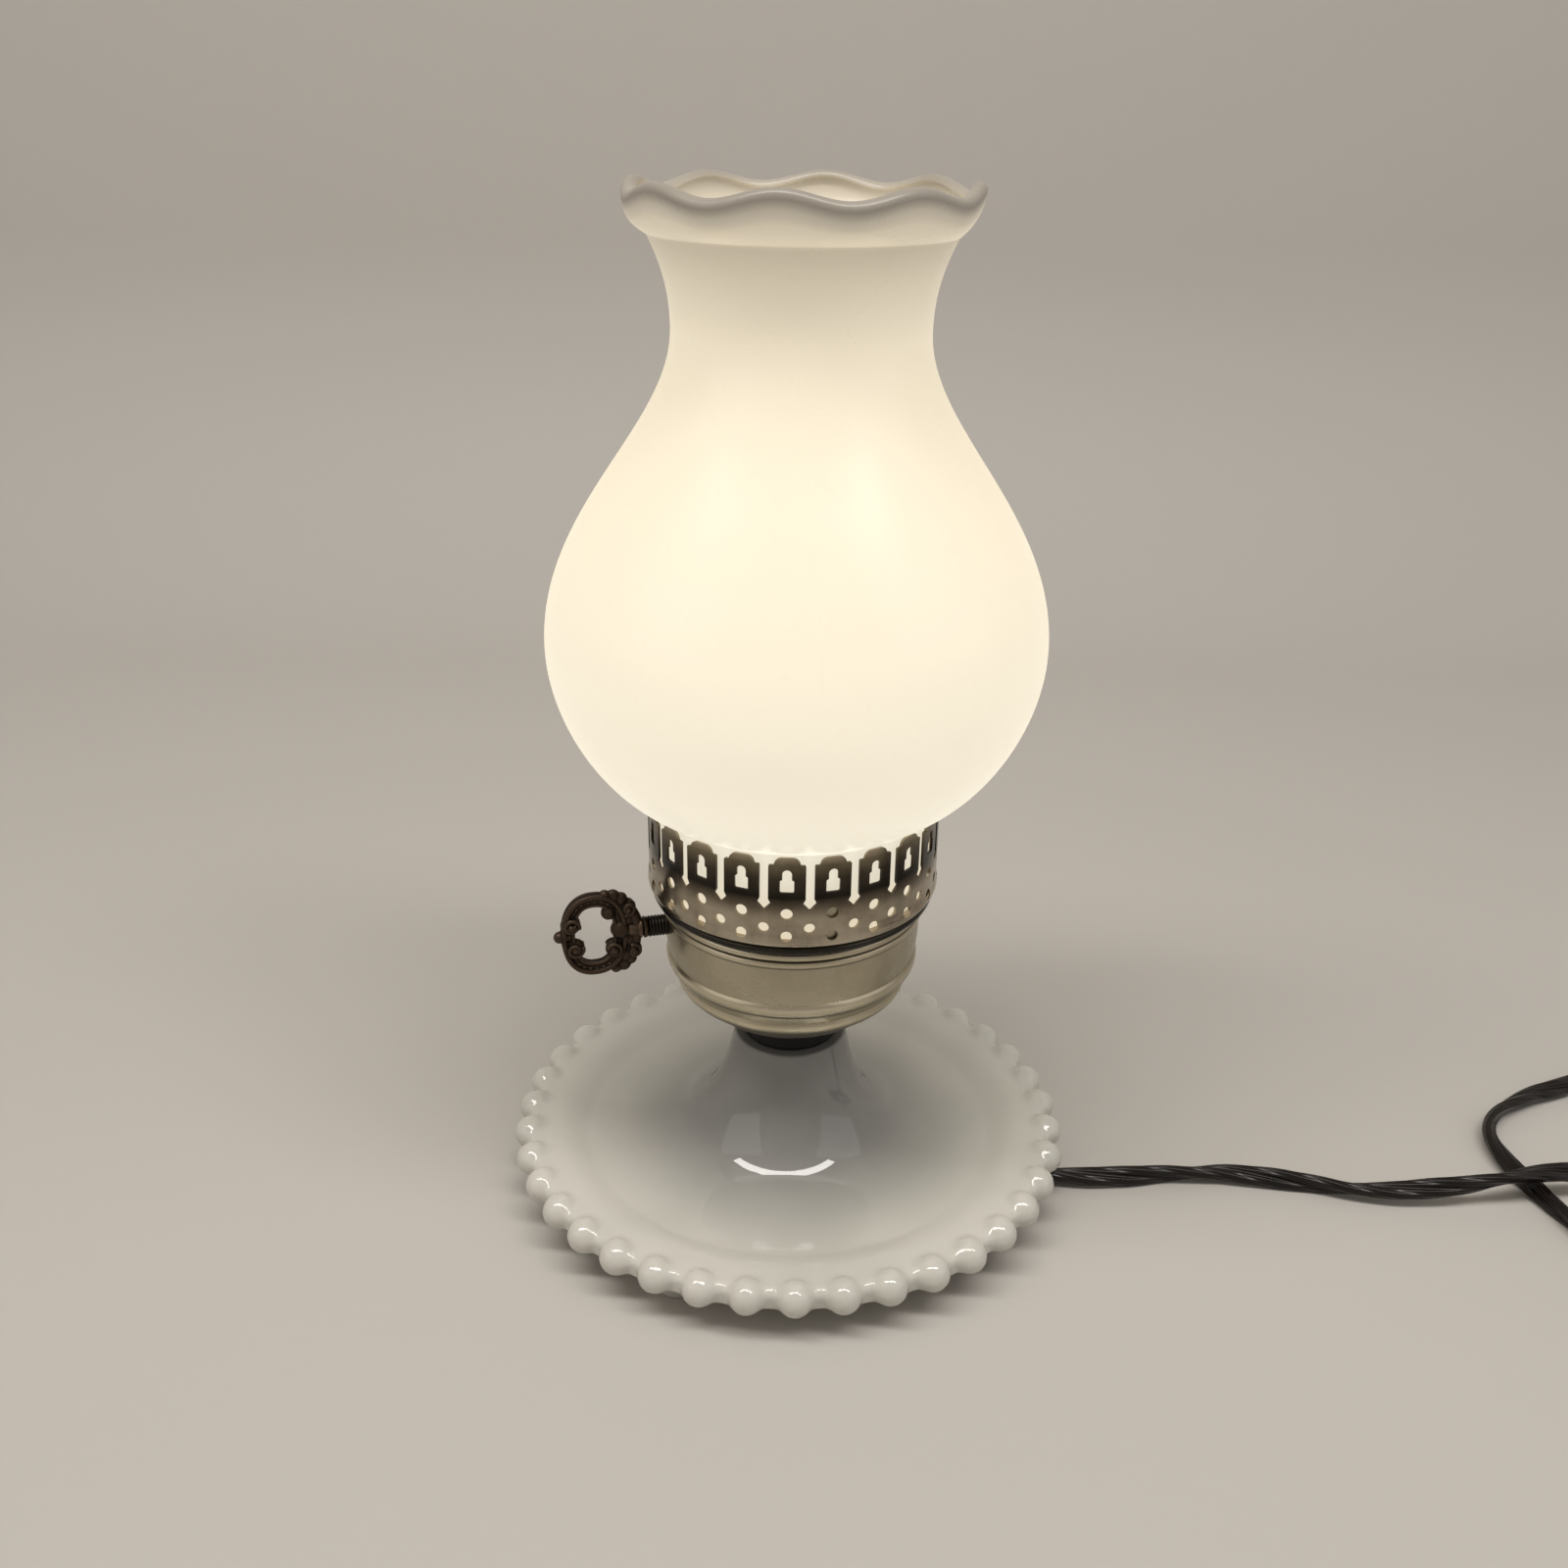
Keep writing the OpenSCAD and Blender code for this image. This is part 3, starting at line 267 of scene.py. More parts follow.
@dataclass
class Shape:
    """Vertices and faces of a piece in the making, in millimetres."""

    verts: list[Vector] = field(default_factory=list)
    faces: list[tuple[int, ...]] = field(default_factory=list)

    def add(self, verts: Sequence[Sequence[float]], faces: Sequence[Sequence[int]]) -> Shape:
        """Adds vertices and the faces between them.

        Args:
            verts: The new vertices.
            faces: Faces, numbered from the first new vertex.

        Returns:
            The shape itself.
        """
        first = len(self.verts)
        self.verts.extend(Vector(v) for v in verts)
        self.faces.extend(tuple(first + i for i in f) for f in faces)
        return self

    def lathe(self, profile: Sequence[Point2], steps: int, lift: Optional[Lift] = None) -> Shape:
        """Turns a closed profile round the Z axis.

        Args:
            profile: Radius and height of each point of the section.
            steps: Number of steps round the axis.
            lift: Gives what a profile point's radius and height gain at an angle.

        Returns:
            The shape itself.
        """
        verts = []
        for j in range(steps):
            a = FULL * j / steps
            for i, (r, z) in enumerate(profile):
                dr, dz = lift(i, a) if lift else (0.0, 0.0)
                verts.append(((r + dr) * math.cos(a), (r + dr) * math.sin(a), z + dz))
        return self.add(verts, web(steps, len(profile), True))

    def sweep(
        self,
        path: Sequence[Vector],
        outline: Callable[[int], Sequence[Point2]],
        side: Callable[[Vector, int], Vector],
        loop: bool = False,
    ) -> Shape:
        """Carries an outline along a path.

        Args:
            path: The path's points.
            outline: Gives the outline at a point of the path.
            side: Gives the outline's own X direction from the path's direction.
            loop: True when the path's end joins its start.

        Returns:
            The shape itself.
        """
        count = len(path)
        verts: list[Vector] = []
        for i, p in enumerate(path):
            a = path[i - 1] if loop else path[max(i - 1, 0)]
            b = path[(i + 1) % count] if loop else path[min(i + 1, count - 1)]
            t = (b - a).normalized()
            x = side(t, i)
            x = (x - t * x.dot(t)).normalized()
            y = t.cross(x)
            verts.extend(p + x * u + y * v for u, v in outline(i))
        n = len(verts) // count
        faces = [(a, d, c, b) for a, b, c, d in web(count, n, loop)]
        if not loop:
            faces += [tuple(range(n - 1, -1, -1)), tuple(range((count - 1) * n, count * n))]
        return self.add(verts, faces)

    def ball(self, centre: Sequence[float], size: Sequence[float], rings: int = 12) -> Shape:
        """Adds a ball, flattened or stretched along the axes.

        Args:
            centre: Centre of the ball.
            size: Its half size along each axis.
            rings: Number of rings from pole to pole.

        Returns:
            The shape itself.
        """
        sides = 2 * rings
        verts = []
        for i in range(rings + 1):
            a = math.pi * i / rings
            for j in range(sides):
                b = FULL * j / sides
                unit = (math.sin(a) * math.cos(b), math.sin(a) * math.sin(b), math.cos(a))
                verts.append(Vector(centre) + Vector(s * u for s, u in zip(size, unit)))
        return self.add(verts, web(rings + 1, sides, False))

    def moved(self, matrix: Matrix) -> Shape:
        """Returns the shape carried by a matrix."""
        return Shape([matrix @ v for v in self.verts], list(self.faces))

    def piece(self, name: str, crease: float = 35.0) -> Piece:
        """Makes the shape an object, closed and facing outwards.

        Args:
            name: Name of the object.
            crease: Angle in degrees past which an edge shows as sharp.

        Returns:
            The object, at the origin.
        """
        mesh = bpy.data.meshes.new(name)
        mesh.from_pydata([v * MM for v in self.verts], [], self.faces)
        bm = bmesh.new()
        bm.from_mesh(mesh)
        bmesh.ops.remove_doubles(bm, verts=bm.verts, dist=WELD * MM)
        bmesh.ops.recalc_face_normals(bm, faces=bm.faces)
        return settle(mesh, bm, crease)


def bake(obj: Piece) -> Piece:
    """Turns what an object's modifiers make into its plain mesh.

    Args:
        obj: The object, whose modifiers are removed.

    Returns:
        The same object.
    """
    graph = bpy.context.evaluated_depsgraph_get()
    mesh = bpy.data.meshes.new_from_object(obj.evaluated_get(graph), depsgraph=graph)
    obj.modifiers.clear()
    old, obj.data = obj.data, mesh
    mesh.name = obj.name
    bpy.data.meshes.remove(old)
    return obj


def join(name: str, parts: Sequence[Piece], crease: float) -> Piece:
    """Puts several meshes of one material in one object.

    Args:
        name: Name of the object.
        parts: The objects, which are removed.
        crease: Angle in degrees past which an edge shows as sharp.

    Returns:
        The new object.
    """
    bm = bmesh.new()
    for part in parts:
        bm.from_mesh(part.data)
        bpy.data.objects.remove(part)
    return settle(bpy.data.meshes.new(name), bm, crease)


# ---------------------------------------------------------------- nodes


def linear(colour: str) -> tuple[float, ...]:
    """Turns an sRGB hex colour to linear values.

    Args:
        colour: Six hex digits after a #.

    Returns:
        Red, green, blue and alpha.
    """
    out = []
    for i in (1, 3, 5):
        v = int(colour[i : i + 2], 16) / 255
        out.append(v / 12.92 if v <= 0.04045 else ((v + 0.055) / 1.055) ** 2.4)
    return (*out, 1.0)


def feed(tree: Tree, node: bpy.types.Node, links: dict[Any, Any]) -> None:
    """Sets a node's inputs.

    Args:
        tree: The node's tree.
        node: The node.
        links: For an input's name or number, the socket or value it takes.
    """
    for key, value in links.items():
        if isinstance(value, Socket):
            tree.links.new(value, node.inputs[key])
        else:
            node.inputs[key].default_value = value


def add(
    tree: Tree,
    kind: str,
    links: Optional[dict[Any, Any]] = None,
    out: Any = 0,
    stops: Stops = (),
    **settings: Any,
) -> Optional[Socket]:
    """Adds a node with its settings and links.

    Args:
        tree: The tree to add to.
        kind: The node's type.
        links: For an input's name or number, the socket or value it takes.
        out: Name or number of the output that is wanted.
        stops: Place and hex colour of each stop, where the node has a colour ramp.
        **settings: The node's own settings.

    Returns:
        The output, or None where the node has none.
    """
    node = tree.nodes.new(kind)
    for name, value in settings.items():
        setattr(node, name, value)
    # A new ramp has two stops, which become the first and the last.
    for k, (place, colour) in enumerate((*stops[:1], *stops[-1:], *stops[1:-1])):
        band = node.color_ramp.elements
        stop = band[k] if k < 2 else band.new(place)
        stop.position, stop.color = place, linear(colour)
    feed(tree, node, links or {})
    return node.outputs[out] if node.outputs else None


def grow(obj: Piece, tree: Tree, sizes: dict[str, Any]) -> Piece:
    """Runs a Geometry Nodes tree on an object and keeps the mesh it makes.

    Args:
        obj: The object whose mesh goes in.
        tree: The tree.
        sizes: Values for the tree's named inputs.

    Returns:
        The same object with its new plain mesh.
    """
    modifier = obj.modifiers.new(tree.name, "NODES")
    modifier.node_group = tree
    for item in tree.interface.items_tree:
        if item.item_type == "SOCKET" and item.in_out == "INPUT" and item.name in sizes:
            modifier[item.identifier] = sizes[item.name]
    return bake(obj)


class Pattern:
    """Geometry Nodes trees for what repeats on the lamp."""

    def __init__(self, name: str, **inputs: str) -> None:
        """Starts a tree.

        Args:
            name: Name of the tree.
            **inputs: Socket type of each input, between the geometry and the material.
        """
        self.tree = bpy.data.node_groups.new(name, "GeometryNodeTree")
        sockets = self.tree.interface
        for label, kind in {"Geometry": "Geometry", **inputs, "Material": "Material"}.items():
            sockets.new_socket(label, in_out="INPUT", socket_type="NodeSocket" + kind)
        sockets.new_socket("Geometry", in_out="OUTPUT", socket_type="NodeSocketGeometry")
        self.take = add(self.tree, "NodeGroupInput").node.outputs

    def end(self, made: Socket) -> Tree:
        """Ends the tree in real, welded, smooth geometry with its material.

        Args:
            made: The geometry to end with.

        Returns:
            The tree.
        """
        tree = self.tree
        real = add(tree, "GeometryNodeRealizeInstances", {"Geometry": made})
        weld = {"Geometry": real, "Distance": WELD * MM}
        smooth = {"Geometry": add(tree, "GeometryNodeMergeByDistance", weld)}
        dress = {"Geometry": add(tree, "GeometryNodeSetShadeSmooth", smooth)}
        dress["Material"] = self.take["Material"]
        add(tree, "NodeGroupOutput", {0: add(tree, "GeometryNodeSetMaterial", dress)})
        return tree

    @classmethod
    def ring(cls) -> Tree:
        """Copies of the input round the lamp's axis: the feet and the prongs.

        Returns:
            The tree, with inputs Count, Radius, Phase and Material.
        """
        pattern = cls("ring_of_copies", Count="Int", Radius="Float", Phase="Float")
        tree, take = pattern.tree, pattern.take
        step = add(tree, MATH, {0: FULL, 1: take["Count"]}, operation="DIVIDE")
        angle = {0: add(tree, "GeometryNodeInputIndex"), 1: step, 2: take["Phase"]}
        turn = add(tree, MATH, angle, operation="MULTIPLY_ADD")
        waves = [add(tree, MATH, {0: turn}, operation=kind) for kind in ("COSINE", "SINE")]
        arms = [{0: wave, 1: take["Radius"]} for wave in waves]
        x, y = (add(tree, MATH, arm, operation="MULTIPLY") for arm in arms)
        place = add(tree, UNITE, {"X": x, "Y": y})
        points = add(tree, "GeometryNodePoints", {"Count": take["Count"], "Position": place})
        spin = add(tree, UNITE, {"Z": turn})
        copies = {"Points": points, "Instance": take["Geometry"], "Rotation": spin}
        return pattern.end(add(tree, "GeometryNodeInstanceOnPoints", copies))

    @classmethod
    def row(cls) -> Tree:
        """Small domes along the input's line: the dots on the key.

        Returns:
            The tree, with inputs Count, Dome and Material.
        """
        pattern = cls("row_of_dots", Count="Int", Dome="Float")
        tree, take = pattern.tree, pattern.take
        line = {"Curve": add(tree, "GeometryNodeMeshToCurve", {"Mesh": take["Geometry"]})}
        line["Count"] = take["Count"]
        points = add(tree, "GeometryNodeCurveToPoints", line, mode="COUNT")
        ball = {"Radius": take["Dome"], "Subdivisions": 2}
        dots = {"Points": points, "Instance": add(tree, "GeometryNodeMeshIcoSphere", ball)}
        return pattern.end(add(tree, "GeometryNodeInstanceOnPoints", dots))

    @classmethod
    def thread(cls) -> Tree:
        """A screw's ridge, wound round the lamp's axis.

        Returns:
            The tree, with inputs Radius, Pitch, Turns, Start, Ridge and Material.
        """
        names = ("Radius", "Pitch", "Turns", "Start", "Ridge")
        pattern = cls("screw_thread", **{name: "Float" for name in names})
        tree, take = pattern.tree, pattern.take
        wind = {"Resolution": 40, "Rotations": take["Turns"], "Start Radius": take["Radius"]}
        wind["End Radius"] = take["Radius"]
        rise = {0: take["Pitch"], 1: take["Turns"]}
        wind["Height"] = add(tree, MATH, rise, operation="MULTIPLY")
        helix = {"Geometry": add(tree, "GeometryNodeCurveSpiral", wind)}
        helix["Translation"] = add(tree, UNITE, {"Z": take["Start"]})
        section = {"Resolution": 8, "Radius": take["Ridge"]}
        ridge = {"Curve": add(tree, "GeometryNodeTransform", helix), "Fill Caps": True}
        ridge["Profile Curve"] = add(tree, "GeometryNodeCurvePrimitiveCircle", section)
        return pattern.end(add(tree, "GeometryNodeCurveToMesh", ridge))


# ---------------------------------------------------------------- finishes


# Tool lines, casting and mould grain, flecks and frost are finer on a real lamp than the render
# can show, so their sizes here are as coarse as they need to show.


def per_metre(size_mm: float) -> float:
    """Scale of a texture whose features are that many millimetres wide."""
    return 1000.0 / size_mm


def bands_along(tree: Tree, place: Socket, bands: Stops) -> Socket:
    """Colours a piece by one of its measures.

    Args:
        tree: The material's tree.
        place: The measure, in metres.
        bands: The measure in millimetres and hex colour of each stop, from the lowest up.

    Returns:
        The colour.
    """
    low, high = bands[0][0], bands[-1][0]
    share = add(tree, RANGE, {0: place, 1: low * MM, 2: high * MM})
    stops = [((v - low) / (high - low), colour) for v, colour in bands]
    return add(tree, RAMP, {"Fac": share}, stops=stops)


def in_plain_sight(tree: Tree) -> Socket:
    """Says whether the camera sees a place, straight or in metal and glass.

    Args:
        tree: The tree of the paper or the world.

    Returns:
        1 where it does, and 0 for the light that falls on the lamp.
    """
    path = add(tree, "ShaderNodeLightPath").node.outputs
    seen = path["Is Camera Ray"]
    for ray in ("Is Glossy Ray", "Is Transmission Ray"):
        seen = add(tree, MATH, {0: seen, 1: path[ray]}, operation="MAXIMUM")
    return seen


@dataclass(frozen=True)
class Finish:
    """What a surface is, and how it was made."""

    name: str

    def lay(self, tree: Tree, at: Socket) -> dict[str, Any]:
        """Lays the finish's nodes.

        Args:
            tree: The material's tree.
            at: The piece's own coordinates.

        Returns:
            What each socket of the shader takes.
        """
        raise NotImplementedError

    def material(self) -> bpy.types.Material:
        """Makes the finish.

        Returns:
            Its material.
        """
        material = bpy.data.materials.new(self.name)
        material.use_nodes = True
        tree = material.node_tree
        at = add(tree, "ShaderNodeTexCoord", out="Object")
        feed(tree, tree.nodes["Principled BSDF"], self.lay(tree, at))
        return material


class Work(Enum):
    """How a metal surface was worked, as the stretch of its fine lines along X, Y and Z."""

    SPUN = (0.04, 0.04, 1.0)
    POLISHED = (1.0, 0.35, 1.0)


@dataclass(frozen=True)
class PlatedMetal(Finish):
    """Sheet or turned metal with a plated face.

    Plating gives a clear reflection, broken by the fine lines of how it was worked and by
    patches of thin tarnish that are darker and duller. Bands up a piece paint reflection,
    highlight and shade into its colour.
    """

    colour: str
    tarnish: str
    roughness: float
    work: Work
    line_mm: float = 0.5
    patch_mm: float = 9.0
    depth_mm: float = 0.012
    dulling: float = 0.14
    # Heights and colours of painted reflection, highlight and shade, multiplied into the colour.
    bands: Stops = ()

    def lay(self, tree: Tree, at: Socket) -> dict[str, Any]:
        """Lays metal, tarnish and the bands of painted light.

        Args:
            tree: The material's tree.
            at: The piece's own coordinates.

        Returns:
            What each socket of the shader takes.
        """
        drawn = add(tree, "ShaderNodeMapping", {"Vector": at, "Scale": self.work.value})
        fine = {"Vector": drawn, "Scale": per_metre(self.line_mm), "Detail": 3.0, "Roughness": 0.6}
        lines = add(tree, NOISE, fine, "Fac")
        wide = {"Vector": at, "Scale": per_metre(self.patch_mm), "Detail": 5.0, "Roughness": 0.62}
        patch = add(tree, NOISE, wide, "Fac")
        tones = ((0.42, self.colour), (0.72, self.tarnish))
        colour = add(tree, RAMP, {"Fac": patch}, stops=tones)
        # Painted reflection, highlight and shade in bands up the piece.
        if self.bands:
            painted_bands = bands_along(tree, add(tree, SPLIT, {"Vector": at}, "Z"), self.bands)
            both = {"Factor": 1.0, 6: colour, 7: painted_bands}
            colour = add(tree, MIX, both, 2, data_type="RGBA", blend_type="MULTIPLY")
        dull = {0: patch, 1: 0.35, 2: 0.75, 3: self.roughness, 4: self.roughness + self.dulling}
        rough = {0: lines, 1: 0.08, 2: add(tree, RANGE, dull)}
        bump = {"Height": lines, "Strength": 0.35, "Distance": self.depth_mm * MM}
        return {
            "Base Color": colour,
            "Metallic": 1.0,
            "Roughness": add(tree, MATH, rough, operation="MULTIPLY_ADD"),
            "Normal": add(tree, BUMP, bump),
        }


@dataclass(frozen=True)
class CastBronze(Finish):
    """Cast bronze with a dark antique patina.

    The patina is nearly black in the hollows and rubbed to a warm brown on what stands
    proud, over the fine grain of the sand that it was cast in.
    """

    hollow: str
    ridge: str
    grain_mm: float = 0.5
    patch_mm: float = 4.0
    depth_mm: float = 0.05

    def lay(self, tree: Tree, at: Socket) -> dict[str, Any]:
        """Lays patina and wear.

        Args:
            tree: The material's tree.
            at: The piece's own coordinates.

        Returns:
            What each socket of the shader takes.
        """
        fine = {"Vector": at, "Scale": per_metre(self.grain_mm), "Detail": 4.0, "Roughness": 0.6}
        grain = add(tree, NOISE, fine, "Fac")
        wide = {"Vector": at, "Scale": per_metre(self.patch_mm), "Detail": 3.0}
        patch = add(tree, NOISE, wide, "Fac")
        proud = add(tree, "ShaderNodeNewGeometry", out="Pointiness")
        worn = add(tree, RANGE, {0: proud, 1: 0.48, 2: 0.56, 3: 0.0, 4: 0.85})
        share = add(tree, MATH, {0: patch, 1: 0.35, 2: worn}, operation="MULTIPLY_ADD")
        tones = ((0.1, self.hollow), (0.95, self.ridge))
        bump = {"Height": grain, "Strength": 0.4, "Distance": self.depth_mm * MM}
        return {
            "Base Color": add(tree, RAMP, {"Fac": share}, stops=tones),
            "Metallic": 0.85,
            "Roughness": add(tree, RANGE, {0: share, 1: 0.0, 2: 1.0, 3: 0.56, 4: 0.34}),
            "Normal": add(tree, BUMP, bump),
        }


@dataclass(frozen=True)
class MilkGlass(Finish):
    """Pressed milk glass, fire-polished.

    It is white right through, with a wet gloss and a little greener in drifts.
    Painted shade greys it towards the neck, by its distance from the axis.
    """

    colour: str
    deep: str
    # Radius and colour of the painted shade, greyest at the neck.
    thin: Stops
    wave_mm: float = 30.0
    fleck_mm: float = 0.8
    depth_mm: float = 0.02

    def lay(self, tree: Tree, at: Socket) -> dict[str, Any]:
        """Lays white glass, drifts and the painted shade towards the neck.

        Args:
            tree: The material's tree.
            at: The piece's own coordinates.

        Returns:
            What each socket of the shader takes.
        """
        wide = {"Vector": at, "Scale": per_metre(self.wave_mm), "Detail": 2.0, "Roughness": 0.4}
        wave = add(tree, NOISE, wide, "Fac")
        fine = {"Vector": at, "Scale": per_metre(self.fleck_mm), "Detail": 2.0}
        fleck = add(tree, NOISE, fine, "Fac")
        tones = ((0.35, self.colour), (0.7, self.deep))
        colour = add(tree, RAMP, {"Fac": wave}, stops=tones)
        # Painted shade: the glass greys towards the neck, by its distance from the axis.
        level = add(tree, VECTOR, {0: at, 1: (1.0, 1.0, 0.0)}, operation="MULTIPLY")
        out = add(tree, VECTOR, {0: level}, "Value", operation="LENGTH")
        both = {"Factor": 1.0, 6: colour, 7: bands_along(tree, out, self.thin)}
        bump = {"Height": fleck, "Strength": 0.04, "Distance": self.depth_mm * MM}
        return {
            "Base Color": add(tree, MIX, both, 2, data_type="RGBA", blend_type="MULTIPLY"),
            "Roughness": add(tree, RANGE, {0: fleck, 1: 0.3, 2: 0.8, 3: 0.015, 4: 0.035}),
            "IOR": 1.58,
            "Subsurface Weight": 0.25,
            "Subsurface Radius": (1.0, 0.95, 0.85),
            "Subsurface Scale": 3.0 * MM,
            "Normal": add(tree, BUMP, bump),
        }


@dataclass(frozen=True)
class LitOpalGlass(Finish):
    """Blown opal glass, etched to a satin, with the bulb alight inside it.

    The glow is warm and even over the belly and falls off up the throat. The lip is grey-white
    glass: above the crease its glow holds a painted reflection of the lit belly, and painted shade
    darkens its rolled top. The wall's inner face stays brighter. Handling has left faint curved
    scratches.
    """

    glass: str
    lip_shade: str
    outside: Stops
    inside: Stops
    lip: Stops
    glow: float
    scratch_mm: float = 60.0
    bend_mm: float = 45.0
    bend_m: float = 0.03
    wave_mm: float = 9.0
    depth_mm: float = 0.1

    def lay(self, tree: Tree, at: Socket) -> dict[str, Any]:
        """Lays the glow, the lip's painted reflection and shade, and the scratches.

        Args:
            tree: The material's tree.
            at: The piece's own coordinates.

        Returns:
            What each socket of the shader takes.
        """
        face, edge = (
            add(tree, "ShaderNodeAttribute", out="Fac", attribute_name=mark)
            for mark in ("inside", "lip")
        )
        up = add(tree, SPLIT, {"Vector": at}, "Z")
        to_lip = {
            "Factor": add(tree, RANGE, {0: edge, 1: 0.0, 2: 0.06}),
            6: bands_along(tree, up, self.outside),
            7: add(tree, RAMP, {"Fac": edge}, stops=self.lip),
        }
        outside = add(tree, MIX, to_lip, 2, data_type="RGBA")
        to_inside = {"Factor": face, 6: outside, 7: bands_along(tree, up, self.inside)}
        light = add(tree, MIX, to_inside, 2, data_type="RGBA")
        wide = {"Vector": at, "Scale": per_metre(self.bend_mm), "Detail": 1.0}
        bent = {0: add(tree, NOISE, wide, "Color"), 1: (self.bend_m,) * 3, 2: at}
        warp = add(tree, VECTOR, bent, operation="MULTIPLY_ADD")
        cells = {"Vector": warp, "Scale": per_metre(self.scratch_mm)}
        way = add(tree, "ShaderNodeTexVoronoi", cells, "Distance", feature="DISTANCE_TO_EDGE")
        scratch = add(tree, RANGE, {0: way, 1: 0.0, 2: 0.006, 3: 0.98, 4: 1.0})
        lit = {"Factor": 1.0, 6: light, 7: scratch}
        even = {"Vector": at, "Scale": per_metre(self.wave_mm), "Detail": 2.0}
        wave = add(tree, NOISE, even, "Fac")
        bump = {"Height": wave, "Strength": 0.1, "Distance": self.depth_mm * MM}
        # Painted shade: the lip's colour darkens towards its rolled top.
        tones = ((0.3, self.glass), (0.97, self.lip_shade))
        return {
            "Base Color": add(tree, RAMP, {"Fac": edge}, stops=tones),
            "Roughness": add(tree, RANGE, {0: wave, 1: 0.3, 2: 0.7, 3: 0.26, 4: 0.34}),
            "IOR": 1.5,
            "Emission Color": add(tree, MIX, lit, 2, data_type="RGBA", blend_type="MULTIPLY"),
            "Emission Strength": self.glow,
            "Normal": add(tree, BUMP, bump),
        }


@dataclass(frozen=True)
class MouldedPlastic(Finish):
    """Moulded plastic, phenolic or rubber.

    The mould leaves an even, fine grain, and handling leaves patches that are a little
    shinier.
    """

    colour: str
    worn: str
    roughness: float
    grain_mm: float = 0.6
    ior: float = 1.5
    patch_mm: float = 8.0
    depth_mm: float = 0.03

    def lay(self, tree: Tree, at: Socket) -> dict[str, Any]:
        """Lays plastic, grain and wear.

        Args:
            tree: The material's tree.
            at: The piece's own coordinates.

        Returns:
            What each socket of the shader takes.
        """
        fine = {"Vector": at, "Scale": per_metre(self.grain_mm), "Detail": 2.0}
        grain = add(tree, NOISE, fine, "Fac")
        wide = {"Vector": at, "Scale": per_metre(self.patch_mm), "Detail": 4.0}
        patch = add(tree, NOISE, wide, "Fac")
        tones = ((0.4, self.colour), (0.75, self.worn))
        shine = {0: patch, 1: 0.3, 2: 0.75, 3: self.roughness + 0.06, 4: self.roughness - 0.08}
        bump = {"Height": grain, "Strength": 0.3, "Distance": self.depth_mm * MM}
        return {
            "Base Color": add(tree, RAMP, {"Fac": patch}, stops=tones),
            "Roughness": add(tree, RANGE, shine),
            "Normal": add(tree, BUMP, bump),
            "IOR": self.ior,
        }


@dataclass(frozen=True)
class LampGlass(Finish):
    """Blown bulb glass, frosted inside and alight, or the clear glass of its stem."""

    colour: str
    glow_colour: str
    glow: float
    roughness: float
    clear: float
    frost_mm: float = 1.2

    def lay(self, tree: Tree, at: Socket) -> dict[str, Any]:
        """Lays frost and glow.

        Args:
            tree: The material's tree.
            at: The piece's own coordinates.

        Returns:
            What each socket of the shader takes.
        """
        fine = {"Vector": at, "Scale": per_metre(self.frost_mm), "Detail": 3.0}
        frost = add(tree, NOISE, fine, "Fac")
        tones = ((0.3, self.colour), (0.8, self.glow_colour))
        dull = {0: frost, 1: 0.3, 2: 0.7, 3: self.roughness, 4: self.roughness + 0.12}
        return {
            "Base Color": add(tree, RAMP, {"Fac": frost}, stops=tones),
            "Roughness": add(tree, RANGE, dull),
            "IOR": 1.5,
            "Transmission Weight": self.clear,
            "Emission Color": linear(self.glow_colour),
            "Emission Strength": self.glow,
        }


@dataclass(frozen=True)
class StudioPaper(Finish):
    """Plain pale paper for the floor and backdrop, with a plain tone far from the lamp."""

    colour: str
    far: str
    far_level: float
    fade_m: Point2 = (0.9, 1.5)
    pulp_mm: float = 300.0

    def lay(self, tree: Tree, at: Socket) -> dict[str, Any]:
        """Lays paper, and the plain tone far off where it shows.

        Args:
            tree: The material's tree.
            at: The piece's own coordinates.

        Returns:
            What each socket of the shader takes.
        """
        away = add(tree, VECTOR, {0: at}, "Value", operation="LENGTH")
        fade = add(tree, RANGE, {0: away, 1: self.fade_m[0], 2: self.fade_m[1]})
        share = add(tree, MATH, {0: fade, 1: in_plain_sight(tree)}, operation="MULTIPLY")
        plain = {"Color": linear(self.far), "Strength": self.far_level}
        near = tree.nodes["Principled BSDF"].outputs[0]
        both = {0: share, 1: near, 2: add(tree, "ShaderNodeEmission", plain)}
        surface = add(tree, "ShaderNodeMixShader", both)
        feed(tree, tree.nodes["Material Output"], {"Surface": surface})
        wide = {"Vector": at, "Scale": per_metre(self.pulp_mm), "Detail": 2.0}
        pulp = add(tree, NOISE, wide, "Fac")
        return {
            "Base Color": linear(self.colour),
            "Roughness": add(tree, RANGE, {0: pulp, 3: 0.6, 4: 0.75}),
        }


# Fire-polished white glass: a wet gloss, a soft, slightly green depth and painted shade that greys
# it towards the neck.
MILK_GLASS = MilkGlass(
    "pressed_milk_glass",
    "#d5d1c9",
    "#cdcac1",
    ((16.0, "#a3a4a7"), (28.0, "#afb0b2"), (44.0, "#d4d4d3"), (62.0, "#fbfbfa")),
)
